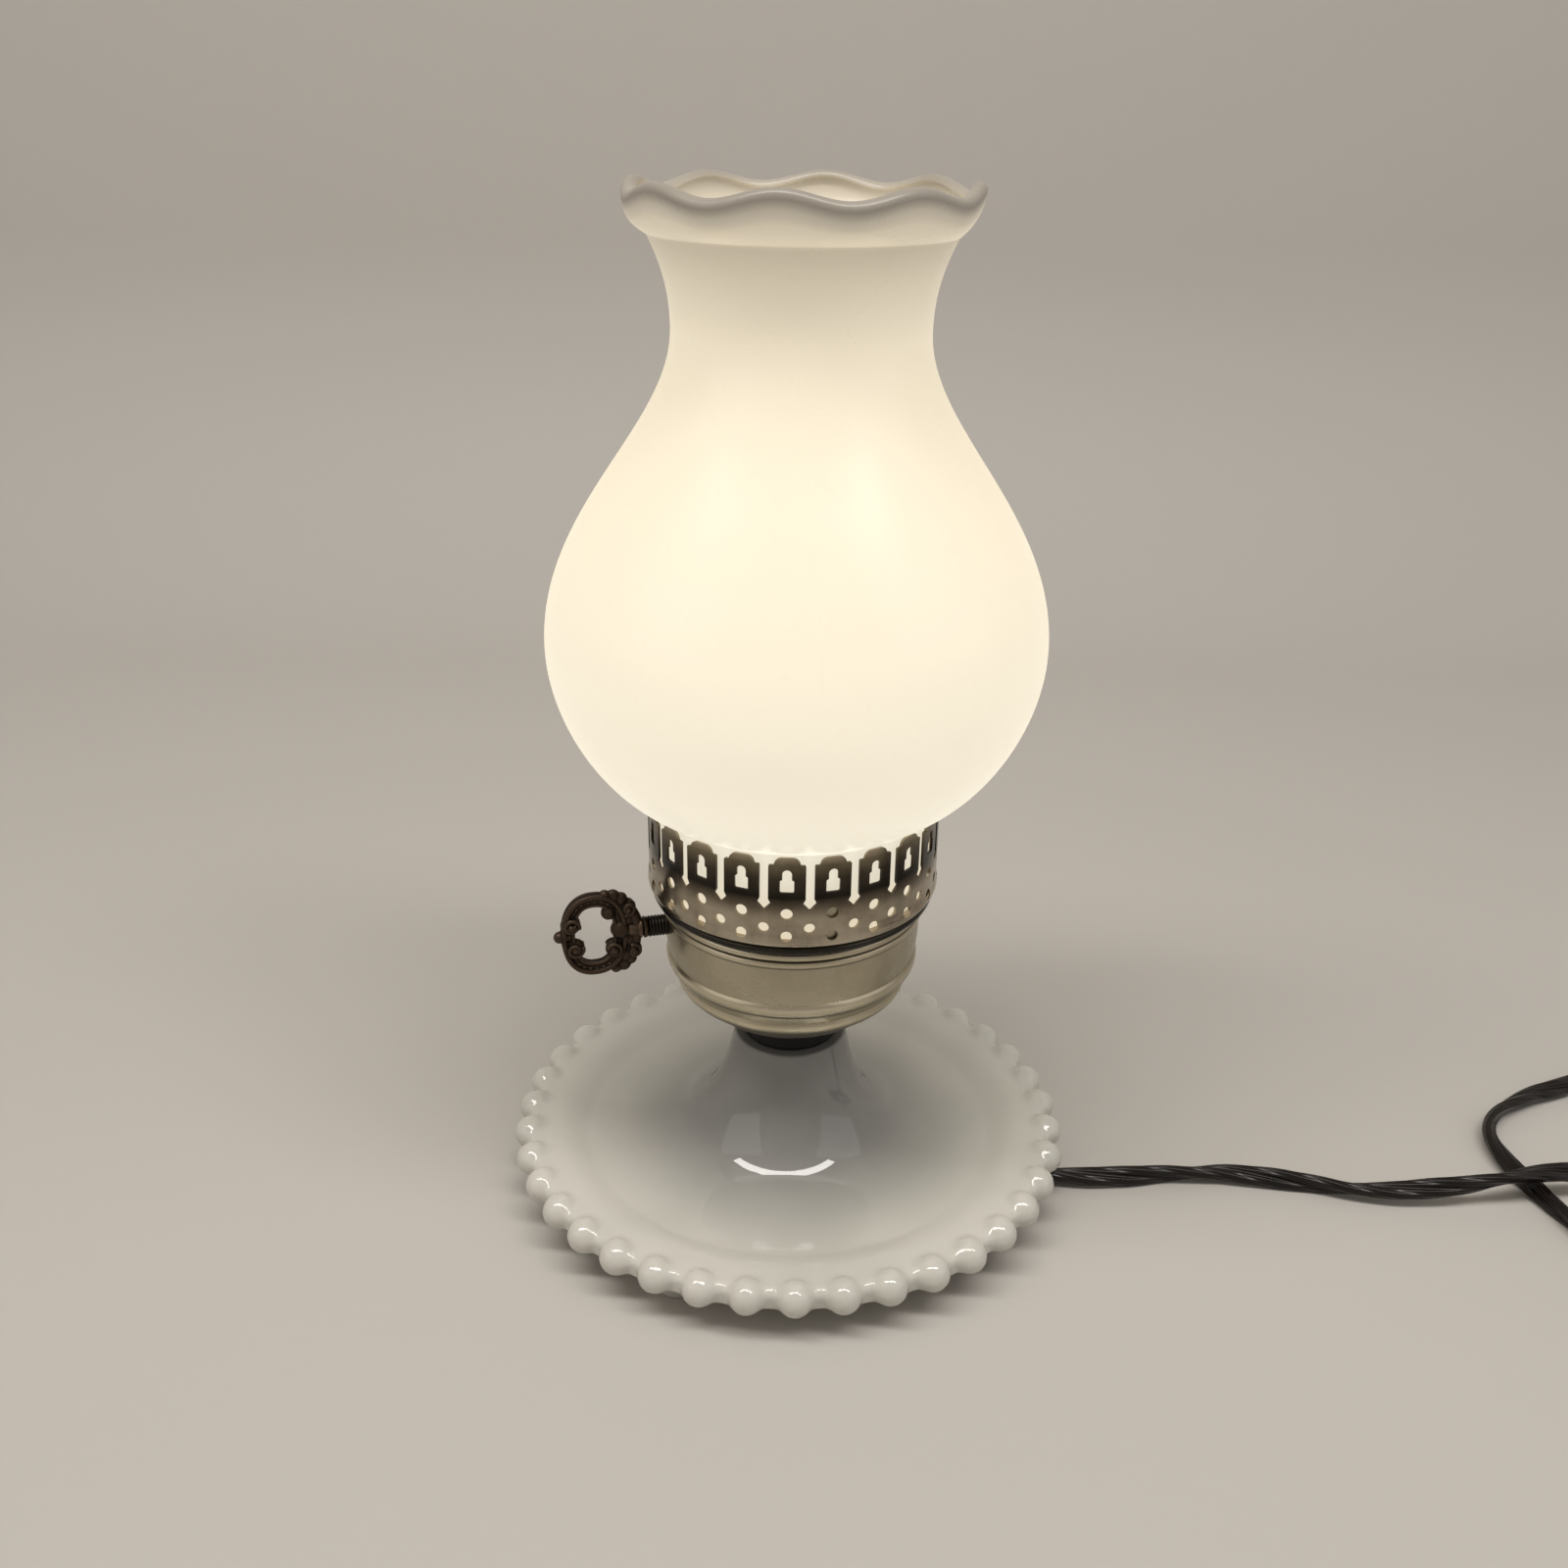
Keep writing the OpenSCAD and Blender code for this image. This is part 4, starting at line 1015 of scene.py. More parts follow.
# Satin-etched opal glass: a soft sheen, and a warm glow that fades up the throat.
OPAL_GLASS = LitOpalGlass(
    "blown_opal_glass_lit",
    "#a69f94",
    "#938c82",
    (
        (97.5, "#fff0d2"), (122.0, "#fff8e4"), (168.0, "#fdf3da"), (210.0, "#f5e8ca"),
        (235.0, "#ecdfc1"), (248.0, "#eadec3"), (262.0, "#cec2aa"), (270.0, "#b5a993"),
    ),
    (
        (97.5, "#fff0d2"), (240.0, "#fff0d2"), (262.0, "#eadcbe"), (275.0, "#b9ae98"),
        (282.0, "#4d483f"),
    ),
    # The lip's glow: a painted reflection of the lit belly over the lower lip, dimming towards the
    # rolled top.
    ((0.0, "#b3a791"), (0.12, "#d2c6ae"), (0.6, "#c9bda6"), (0.85, "#a39a89"), (1.0, "#4a453e")),
    glow=0.72,
)  # fmt: skip
# Polished nickel over brass: a clear mirror, with bands of painted reflection up it:
# a dark roll and dark prongs, a light lower wall, and painted highlights on the prong tops.
GALLERY_NICKEL = PlatedMetal(
    "polished_nickel_plate", "#b8b1a4", "#978e80", 0.14, Work.POLISHED, 0.7,
    bands=(
        (93.4, "#4c4c54"), (96.2, "#55544f"), (97.2, "#f4f0e9"), (105.0, "#eae5dc"),
        (108.6, "#968f87"), (111.5, "#3c3a38"), (117.0, "#65605a"), (121.0, "#a69f8e"),
        (123.2, "#f0eadc"),
    ),
)  # fmt: skip
# Spun brass with a worn, pale nickel plate and fine rings. Its bands are painted light:
# a darker lower bowl, painted shade in the creases under its rolls and painted highlights on the
# rolls' tops.
CUP_NICKEL = PlatedMetal(
    "spun_nickel_plate", "#cbc2ad", "#b5ab93", 0.2, Work.SPUN, 0.5, 30.0,
    bands=(
        (53.5, "#9f9e9b"), (62.9, "#9f9e9b"), (63.8, "#3a3937"), (64.8, "#c8c7c4"),
        (66.6, "#ffffff"), (68.6, "#d8d7d4"), (70.6, "#c2c1be"), (71.3, "#3a3937"),
        (72.4, "#d2d1ce"), (74.2, "#ffffff"), (76.4, "#d8d7d4"), (87.3, "#d8d7d4"),
        (87.9, "#555351"), (88.6, "#f4f3f1"), (89.5, "#f4f3f1"), (90.05, "#494846"),
        (90.7, "#f4f3f1"), (92.0, "#e6e5e2"), (93.0, "#d8d7d4"),
    ),
)  # fmt: skip
# Sand-cast bronze with a near-black patina, rubbed brown on the ridges.
KEY_BRONZE = CastBronze("cast_antique_bronze", "#0f0b09", "#5c4c3e")
# Turned brass with a black oxide: a dull dark sheen on the crests of the thread.
BUSHING_BLACK = PlatedMetal(
    "turned_black_oxide_brass", "#2c2825", "#1d1a18", 0.34, Work.SPUN, 0.6
)
# Drawn and turned brass of the socket.
SOCKET_BRASS = PlatedMetal("drawn_brass", "#b9975a", "#86693c", 0.26, Work.SPUN, 0.6)
# Stamped steel with a dull zinc plate.
WASHER_STEEL = PlatedMetal(
    "stamped_zinc_plated_steel", "#a9aaa8", "#7c7b78", 0.34, Work.POLISHED, 0.8
)
# Rolled aluminium of the bulb's cap.
CAP_ALUMINIUM = PlatedMetal("rolled_aluminium", "#c4c5c6", "#98999a", 0.28, Work.SPUN, 0.5)
# Black rubber of the spacer, dull and slightly dusty.
SPACER_RUBBER = MouldedPlastic(
    "moulded_black_rubber", "#060505", "#110f0e", roughness=0.55, ior=1.3
)
# Brown phenolic of the socket, glossy where it left the mould.
PHENOLIC = MouldedPlastic("moulded_brown_phenolic", "#2b1c15", "#3d2a20", roughness=0.36)
# Black glass insulator of the bulb.
VITRITE = MouldedPlastic("fused_black_glass", "#0b0b0d", "#16161a", roughness=0.22)
# Extruded brown vinyl of the cord: soft gloss along its ribs, slowly uneven, with no grain.
CORD_VINYL = MouldedPlastic(
    "extruded_brown_vinyl", "#0d0806", "#1b110c", roughness=0.26, grain_mm=6.0, ior=1.38
)
# Moulded brown vinyl of the plug.
PLUG_VINYL = MouldedPlastic("moulded_brown_vinyl", "#1c130e", "#2b1f18", roughness=0.46)
# Frosted bulb glass, alight.
BULB_GLASS = LampGlass(
    "frosted_bulb_glass_lit", "#f4ecdc", "#ffe9bf", glow=0.9, roughness=0.4, clear=0.0
)
# Clear stem glass and filament wire inside the bulb.
STEM_GLASS = LampGlass(
    "clear_stem_glass", "#dfe4e2", "#ffe2ad", glow=0.25, roughness=0.08, clear=0.4
)
# Pale paper, and the plain tone that it and the sky show far from the lamp.
BACKDROP, BACKDROP_LEVEL = "#f6ecdf", 0.45
FLOOR_PAPER = StudioPaper("plain_pale_paper", "#c0bbb4", BACKDROP, BACKDROP_LEVEL)


class Dresser:
    """Makes each finish once and puts it on pieces and CAD nodes."""

    def __init__(self, nodes: dict[str, Piece]) -> None:
        """Keeps the frame's nodes."""
        self.nodes = nodes
        self.made: dict[str, bpy.types.Material] = {}

    def material(self, finish: Finish) -> bpy.types.Material:
        """Finds a finish's material, which is made on its first use.

        Args:
            finish: The finish.

        Returns:
            The material.
        """
        if finish.name not in self.made:
            self.made[finish.name] = finish.material()
        return self.made[finish.name]

    def coat(self, obj: Piece, finish: Finish) -> None:
        """Gives a whole object one finish."""
        obj.data.materials.clear()
        obj.data.materials.append(self.material(finish))

    def piece(self, obj: Piece, finish: Finish, body: str, slot: str, *nodes: str) -> Piece:
        """Finishes a piece and hands it to its body.

        Args:
            obj: The piece.
            finish: Its finish.
            body: The body it moves with.
            slot: The record's material slot; it is not used.
            *nodes: The CAD nodes it stands for.

        Returns:
            The piece.
        """
        self.coat(obj, finish)
        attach(obj, body)
        if nodes:
            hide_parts(*nodes)
        LOG.info("%s: %d faces on %s", obj.name, len(obj.data.polygons), body)
        return obj

    def keep(self, finish: Finish, *names: str) -> None:
        """Gives CAD nodes that stay a finish.

        Args:
            finish: The finish.
            *names: The nodes.
        """
        for name in names:
            self.coat(self.nodes[name], finish)
            LOG.info("%s: dressed node", name)


# ---------------------------------------------------------------- the lamp


def facing(x: float, y: float, z: float) -> Callable[[Vector, int], Vector]:
    """Returns a side for a sweep that is the same all along its path."""
    return lambda way, i: Vector((x, y, z))


@dataclass
class GlassBase:
    """The pressed base: dish, trumpet neck, beaded rim and feet."""

    foot_h: float = 7.0
    floor_z: float = 11.5
    rim_z: float = 15.5
    dish_floor_r: float = 52.0
    dish_edge_r: float = 67.5
    rim_out_r: float = 78.7
    rim_round: float = 2.6
    rim_under_z: float = 9.3
    under_round: float = 1.2
    neck_z: float = 46.5
    neck_r: float = 16.5
    neck_round: float = 0.8
    hollow_r: float = 11.5
    hollow_z: float = 38.0
    bore_r: float = 5.45
    bead_circle_r: float = 77.7
    bead_z: float = 12.6
    bead_r: float = 4.9
    bead_count: int = 38
    bead_phase: float = 1.5
    bead_blend: float = 1.4
    bead_steps: int = 16
    most_lift: float = 7.0
    lift_step: float = 0.1
    foot_r: float = 7.0
    foot_circle_r: float = 65.7
    foot_count: int = 3
    foot_phase: float = -27.0

    def profile(self) -> list[Point2]:
        """Draws the section of the pressing.

        Returns:
            Its points, from the neck's top outwards and back inside.
        """
        r, z, e = self.neck_r, self.floor_z, self.neck_round
        floor, edge, low = self.dish_floor_r, self.dish_edge_r, self.rim_under_z
        neck = bezier([(r, self.neck_z - e), (r + 5.5, z + 6.5), (r + 13.5, z), (floor, z)], 30)
        rise = [(floor, z), (floor + 7, z), (edge - 4, self.rim_z - 2.6), (edge, self.rim_z)]
        dish = bezier(rise, 14)
        # The dish's last points give way to a soft crease into the flat of the rim.
        dish, turn = dish[:-8], dish[-8]
        lip = self.rim_z + 0.05
        crease = bezier([turn, (edge - 1.5, lip - 0.7), (edge + 0.5, lip), (edge + 4.5, lip)], 14)
        above = (self.rim_out_r - self.rim_round, self.rim_z - self.rim_round)
        below = (self.rim_out_r - self.under_round, low + self.under_round)
        rim = [(above[0] - 0.75 * k, lip) for k in range(5, 0, -1)]
        rim += arc(above, self.rim_round, 90, 0, 14)
        rim += [(self.rim_out_r, below[1] + (above[1] - below[1]) * k / 5) for k in (4, 3, 2, 1)]
        rim += arc(below, self.under_round, 0, -90, 6)
        rim += [(below[0] - 0.8 * k, low) for k in range(1, 5)]
        inner = (floor - 5, self.foot_h)
        under = soften([rim[-1], (edge + 4, low), (edge - 2, self.foot_h), inner], 1.2)
        h, top = self.hollow_r, (self.hollow_r, self.hollow_z)
        hollow = bezier([inner, (h + 13, self.foot_h), (h + 4, self.foot_h + 9), top], 18)
        bore = [(self.bore_r, self.hollow_z), (self.bore_r, self.neck_z), (r - e, self.neck_z)]
        bore += arc((r - e, self.neck_z - e), e, 90, 0, 4)[1:]
        return neck[1:-1] + dish + crease + rim + under[5:15] + hollow + bore

    def swell(self, point: Point2, normal: Point2, turn: float) -> float:
        """Finds how far a bead lifts the rim's surface, with a fillet where they meet.

        Args:
            point: Radius and height of a point on the plain rim.
            normal: The surface's direction there.
            turn: Angle from the nearest bead's middle, in radians.

        Returns:
            The lift along the normal.
        """
        across, blend, step = math.sin(turn), self.bead_blend, self.lift_step

        def outside(lift: float) -> float:
            """Measures from a lifted point to rim and bead together.

            Args:
                lift: How far the point is lifted.

            Returns:
                How far outside them it lies, or inside where it is below 0.
            """
            r, z = point[0] + normal[0] * lift, point[1] + normal[1] * lift
            away = (r * math.cos(turn) - self.bead_circle_r, r * across, z - self.bead_z)
            gap = math.hypot(*away) - self.bead_r
            near = max(blend - abs(gap - lift), 0.0) / blend
            return min(gap, lift) - near * near * blend / 4

        high = self.most_lift
        while high > 0.0 and outside(high - step) > 0.0:
            high -= step
        return max(high - step / 2, 0.0)

    def build(self, dresser: Dresser, ring: Tree) -> None:
        """Builds the pressing with its beads and feet.

        Args:
            dresser: Puts the finish on.
            ring: The tree that sets copies in a ring.
        """
        profile = self.profile()
        normals = [(b[0] - a[0], b[1] - a[1]) for a, b in zip(profile, inset(profile, 1.0))]
        pitch = FULL / self.bead_count
        first = math.radians(self.bead_phase - 90)
        known: dict[tuple[int, int], float] = {}

        def beads(i: int, a: float) -> Point2:
            """Lifts a profile point.

            Args:
                i: Number of the profile's point.
                a: The angle, in radians.

            Returns:
                What its radius and height gain.
            """
            if profile[i][0] < self.dish_edge_r + 2:
                return 0.0, 0.0
            turn = (a - first + pitch / 2) % pitch - pitch / 2
            key = (i, round(turn * 1e5))
            if key not in known:
                known[key] = self.swell(profile[i], normals[i], turn)
            return known[key] * normals[i][0], known[key] * normals[i][1]

        dish = Shape().lathe(profile, self.bead_count * self.bead_steps, beads)
        r, top = self.foot_r, self.rim_under_z + 0.5
        side = [(0, top), (r, top), (r - 0.7, 1.0), *arc((r - 1.7, 1.0), 1.0, 0, -90, 5), (0, 0)]
        sizes = {
            "Count": self.foot_count,
            "Radius": self.foot_circle_r * MM,
            "Phase": math.radians(self.foot_phase - 90),
            "Material": dresser.material(MILK_GLASS),
        }
        feet = grow(Shape().lathe(side, steps=40).piece("moulded_feet"), ring, sizes)
        pressing = join("glass_pressing", [dish.piece("dish"), feet], crease=60)
        dresser.piece(pressing, MILK_GLASS, "base", "milk_glass", "glass_base")


@dataclass
class StemHardware:
    """What clamps the base to the burner: nipple, nut, washer and spacer."""

    spacer_r: float = 14.0
    spacer_z: float = 46.5
    spacer_h: float = 7.0
    edge: float = 1.0
    waist: float = 0.7
    bore_r: float = 5.45
    nipple_r: float = 5.15
    nipple_z: float = 30.5
    pitch: float = 0.95
    turns: float = 2.4
    ridge_r: float = 0.28

    def build(self, dresser: Dresser, thread: Tree) -> None:
        """Builds the spacer and the thread that shows, and dresses the rest.

        Args:
            dresser: Puts the finishes on.
            thread: The tree that winds a screw thread.
        """
        r, e, low = self.spacer_r, self.edge, self.spacer_z
        high, thin = low + self.spacer_h, r - self.waist
        side = [(self.bore_r, high), (self.bore_r, low), *arc((r - e, low + e), e, -90, 0, 5)[:-1]]
        side += bezier([(r, low + e), (thin, low + 2.4), (thin, high - 2.4), (r, high - e)], 8)
        side += arc((r - e, high - e), e, 0, 90, 5)[1:]
        spacer = Shape().lathe(side, steps=96).piece("rubber_spacer", crease=60)
        dresser.piece(spacer, SPACER_RUBBER, "base", "black_plastic", "neck_spacer")
        sizes = {
            "Radius": (self.nipple_r - 0.06) * MM,
            "Pitch": self.pitch * MM,
            "Turns": self.turns,
            "Start": (self.nipple_z + 0.1) * MM,
            "Ridge": self.ridge_r * MM,
            "Material": dresser.material(SOCKET_BRASS),
        }
        blank = put("nipple_thread", bpy.data.meshes.new("nipple_thread"))
        dresser.piece(grow(blank, thread, sizes), SOCKET_BRASS, "base", "brass")
        dresser.keep(SOCKET_BRASS, "threaded_nipple", "hex_nut")
        dresser.keep(WASHER_STEEL, "lower_washer")


@dataclass
class Burner:
    """The spun cup and the pierced gallery on it."""

    cup_z: float = 53.5
    cup_foot_r: float = 15.0
    cup_r: float = 36.2
    cup_bowl_h: float = 28.5
    cup_h: float = 43.0
    cup_wall: float = 0.8
    bore_r: float = 5.45
    # Height, half height and depth of each rolled ring.
    rings: tuple[Point3, ...] = (
        (12.2, 2.2, 1.2), (19.8, 2.3, 1.2), (35.4, 1.05, 0.7), (37.7, 1.05, 0.7),
    )  # fmt: skip
    ledge_z: float = 97.4
    ledge_r: float = 33.5
    ledge_t: float = 0.8
    skirt_r: float = 37.1
    skirt_z: float = 93.6
    skirt_h: float = 2.6
    roll_r: float = 1.25
    gallery_r: float = 40.4
    gallery_wall: float = 0.7
    bulge_out: float = 0.6
    bulge_h: float = 3.4
    prong_count: int = 21
    prong_phase: float = -2.3
    top_h: float = 25.7
    arch_h: float = 2.1
    arch_w: float = 7.0
    slot_w: float = 2.3
    slot_round: float = 0.4
    tip_w: float = 3.6
    tip_h: float = 10.6
    neck_h: float = 13.7
    window_w: float = 3.7
    window_top_w: float = 2.5
    sill_h: float = 15.6
    window_h: float = 6.7
    hole_r: Point3 = (1.5, 1.45, 1.6)
    hole_h: Point3 = (2.8, 5.2, 9.4)
    grid_mm: float = 0.75
    grid_clear: float = 0.45
    seam: float = 1e-4

    def cup_profile(self) -> list[Point2]:
        """Draws the cup's section.

        Returns:
            Its points, up the outside with its rolled rings and down the inside.
        """
        r, h, foot, t = self.cup_r, self.cup_bowl_h, self.cup_foot_r, self.cup_wall
        plain = bezier([(foot, 0), (r - 9.2, 3.5), (r - 1.2, h - 16), (r, h)], 130)
        plain += [(r, z) for z in spaced(h, self.cup_h, 60)[1:]]
        outer = []
        for (x, z), (nx, nz) in zip(plain, inset(plain, -1.0)):
            proud = 0.0
            for level, half, out in self.rings:
                gap = (z - level) / half
                if abs(gap) < 1:
                    proud = out * math.sqrt(1 - gap * gap)
            outer.append((x + (nx - x) * proud, z + (nz - z) * proud))
        inner = inset(plain, t)[::-1]
        section = [(self.bore_r, 0.0), *outer, *inner[:-1], (foot, t), (self.bore_r, t)]
        return [(x, z + self.cup_z) for x, z in section]

    def wall_foot(self) -> float:
        """Returns the height of the gallery wall's foot above the ledge, which is below 0."""
        return self.skirt_z + self.skirt_h - self.ledge_z

    def wall_radius(self, height: float) -> float:
        """Finds the gallery's outer radius.

        Args:
            height: Height above the ledge.

        Returns:
            The radius there.
        """
        foot, end, r = self.wall_foot(), self.bulge_h, self.gallery_r
        if height >= end:
            return r
        wide = r + self.bulge_out
        curve = bezier([(self.skirt_r + 1.4, foot), (wide, foot), (wide, 1.4), (r, end)], 40)
        for (ra, ha), (rb, hb) in zip(curve, curve[1:]):
            if ha <= height <= hb:
                return ra + (rb - ra) * (height - ha) / max(hb - ha, 1e-9)
        return curve[0][0]

    def prong_outline(self) -> list[Point2]:
        """Draws one prong and the wall below it, half a slot on both sides, flattened.

        Returns:
            The outline.
        """
        half = math.pi / self.prong_count * self.gallery_r
        slot, e, shoulder = self.slot_w / 2, self.slot_round, self.top_h - self.arch_h
        foot = self.wall_foot()
        rise = self.hole_h[1] - self.hole_r[1] - foot
        up, across = round(rise / self.grid_mm), round(2 * half / self.grid_mm)
        side = [(half, foot + h) for h in spaced(0, rise, up)]
        side += arc((half, self.hole_h[1]), self.hole_r[1], 270, 90, 14)[1:]
        side += [(half, self.tip_h), (half - self.tip_w / 2, self.neck_h - 1.2)]
        side += [(half - slot, self.neck_h), (half - slot, shoulder - e)]
        side += arc((half - slot - e, shoulder - e), e, 0, 90, 3)[1:]
        side += [(self.arch_w / 2 + 0.15, shoulder)]
        side += arc((self.arch_w / 2 - self.arch_h, shoulder), self.arch_h, 0, 90, 9)[1:]
        below = [(x, foot) for x in spaced(-half, half, across)[1:-1]]
        return side + [(-x, h) for x, h in reversed(side)] + below

    def window_outline(self) -> list[Point2]:
        """Draws the keyhole window of a prong, flattened.

        Returns:
            The outline.
        """
        arch, half, sill = self.window_top_w / 2, self.window_w / 2, self.sill_h
        knee, top = sill + self.window_h * 0.56, sill + self.window_h - arch
        body = soften([(-half, knee), (-half, sill), (half, sill), (half, knee)], 0.5, 3)
        return [*body, (arch, knee + 0.1), *arc((0, top), arch, 0, 180, 12), (-arch, knee + 0.1)]

    def prong(self) -> Shape:
        """Cuts one prong with its window and holes out of the sheet and bends it to the wall.

        Returns:
            The prong, at the angle of +X.
        """
        outline = self.prong_outline()
        holes = [self.window_outline()]
        holes += [arc((0, self.hole_h[k]), self.hole_r[k], 0, 345, 23) for k in (0, 2)]

        def metal(p: Sequence[float]) -> bool:
            """Says whether a place on the sheet is left standing."""
            return in_polygon(p, outline) and not any(in_polygon(p, hole) for hole in holes)

        verts: list[Vector] = []
        edges: list[tuple[int, int]] = []
        for loop in (outline, *holes):
            first, n = len(verts), len(loop)
            verts += [Vector(p) for p in loop]
            edges += [(first + i, first + (i + 1) % n) for i in range(n)]
        drawn = [*outline, *(p for hole in holes for p in hole)]
        half = max(x for x, _ in outline)
        low, high = min(h for _, h in outline), max(h for _, h in outline)
        across, up = round(2 * half / self.grid_mm), round((high - low) / self.grid_mm)
        clear = self.grid_clear * self.grid_mm
        for h in spaced(low, high, up)[1:-1]:
            for x in spaced(-half, half, across)[1:-1]:
                if all(math.dist((x, h), q) > clear for q in drawn) and metal((x, h)):
                    verts.append(Vector((x, h)))
        flat, _, faces, *_ = delaunay_2d_cdt(verts, edges, [], 1, 1e-6)
        mids = [sum((flat[i] for i in f), Vector((0, 0))) / len(f) for f in faces]
        kept = [tuple(f) for f, mid in zip(faces, mids) if metal(mid)]
        bent = []
        for wall in (0.0, self.gallery_wall):
            for x, h in flat:
                r, a = self.wall_radius(h) - wall, x / self.gallery_r
                bent.append((r * math.cos(a), r * math.sin(a), self.ledge_z + h))
        count = len(flat)
        rim = dict.fromkeys(pair for f in kept for pair in zip(f, f[1:] + f[:1]))
        both = kept + [tuple(count + i for i in reversed(f)) for f in kept]
        for a, b in rim:
            on_seam = all(abs(abs(flat[k].x) - half) < self.seam for k in (a, b))
            if (b, a) not in rim and not on_seam:
                both.append((b, a, count + a, count + b))
        return Shape().add(bent, both)

    def foot_profile(self) -> list[Point2]:
        """Draws the section of the gallery's skirt, roll and ledge.

        Returns:
            Its points.
        """
        r, z, ledge = self.skirt_r, self.skirt_z, self.ledge_z
        under = ledge - self.ledge_t
        section = [*arc((r + 1.2, z + 1.2), self.roll_r, 180, 405, 22), (r + 1.45, z + 2.7)]
        section += [(r + 1.45, ledge), (self.ledge_r, ledge), (self.ledge_r, under), (r, under)]
        return section

    def build(self, dresser: Dresser, ring: Tree) -> None:
        """Builds the cup and the gallery.

        Args:
            dresser: Puts the finishes on.
            ring: The tree that sets copies in a ring.
        """
        cup = Shape().lathe(self.cup_profile(), steps=144).piece("spun_cup", crease=40)
        dresser.piece(cup, CUP_NICKEL, "base", "nickel_plate", "burner_cup")
        sizes = {
            "Count": self.prong_count,
            "Radius": 0.0,
            "Phase": math.radians(self.prong_phase - 90),
            "Material": dresser.material(GALLERY_NICKEL),
        }
        prongs = grow(self.prong().piece("prongs"), ring, sizes)
        foot = Shape().lathe(self.foot_profile(), steps=168).piece("gallery_foot")
        gallery = join("pierced_gallery", [prongs, foot], crease=35)
        dresser.piece(gallery, GALLERY_NICKEL, "base", "nickel_plate", "gallery")
        dresser.keep(CUP_NICKEL, "gallery_strap")


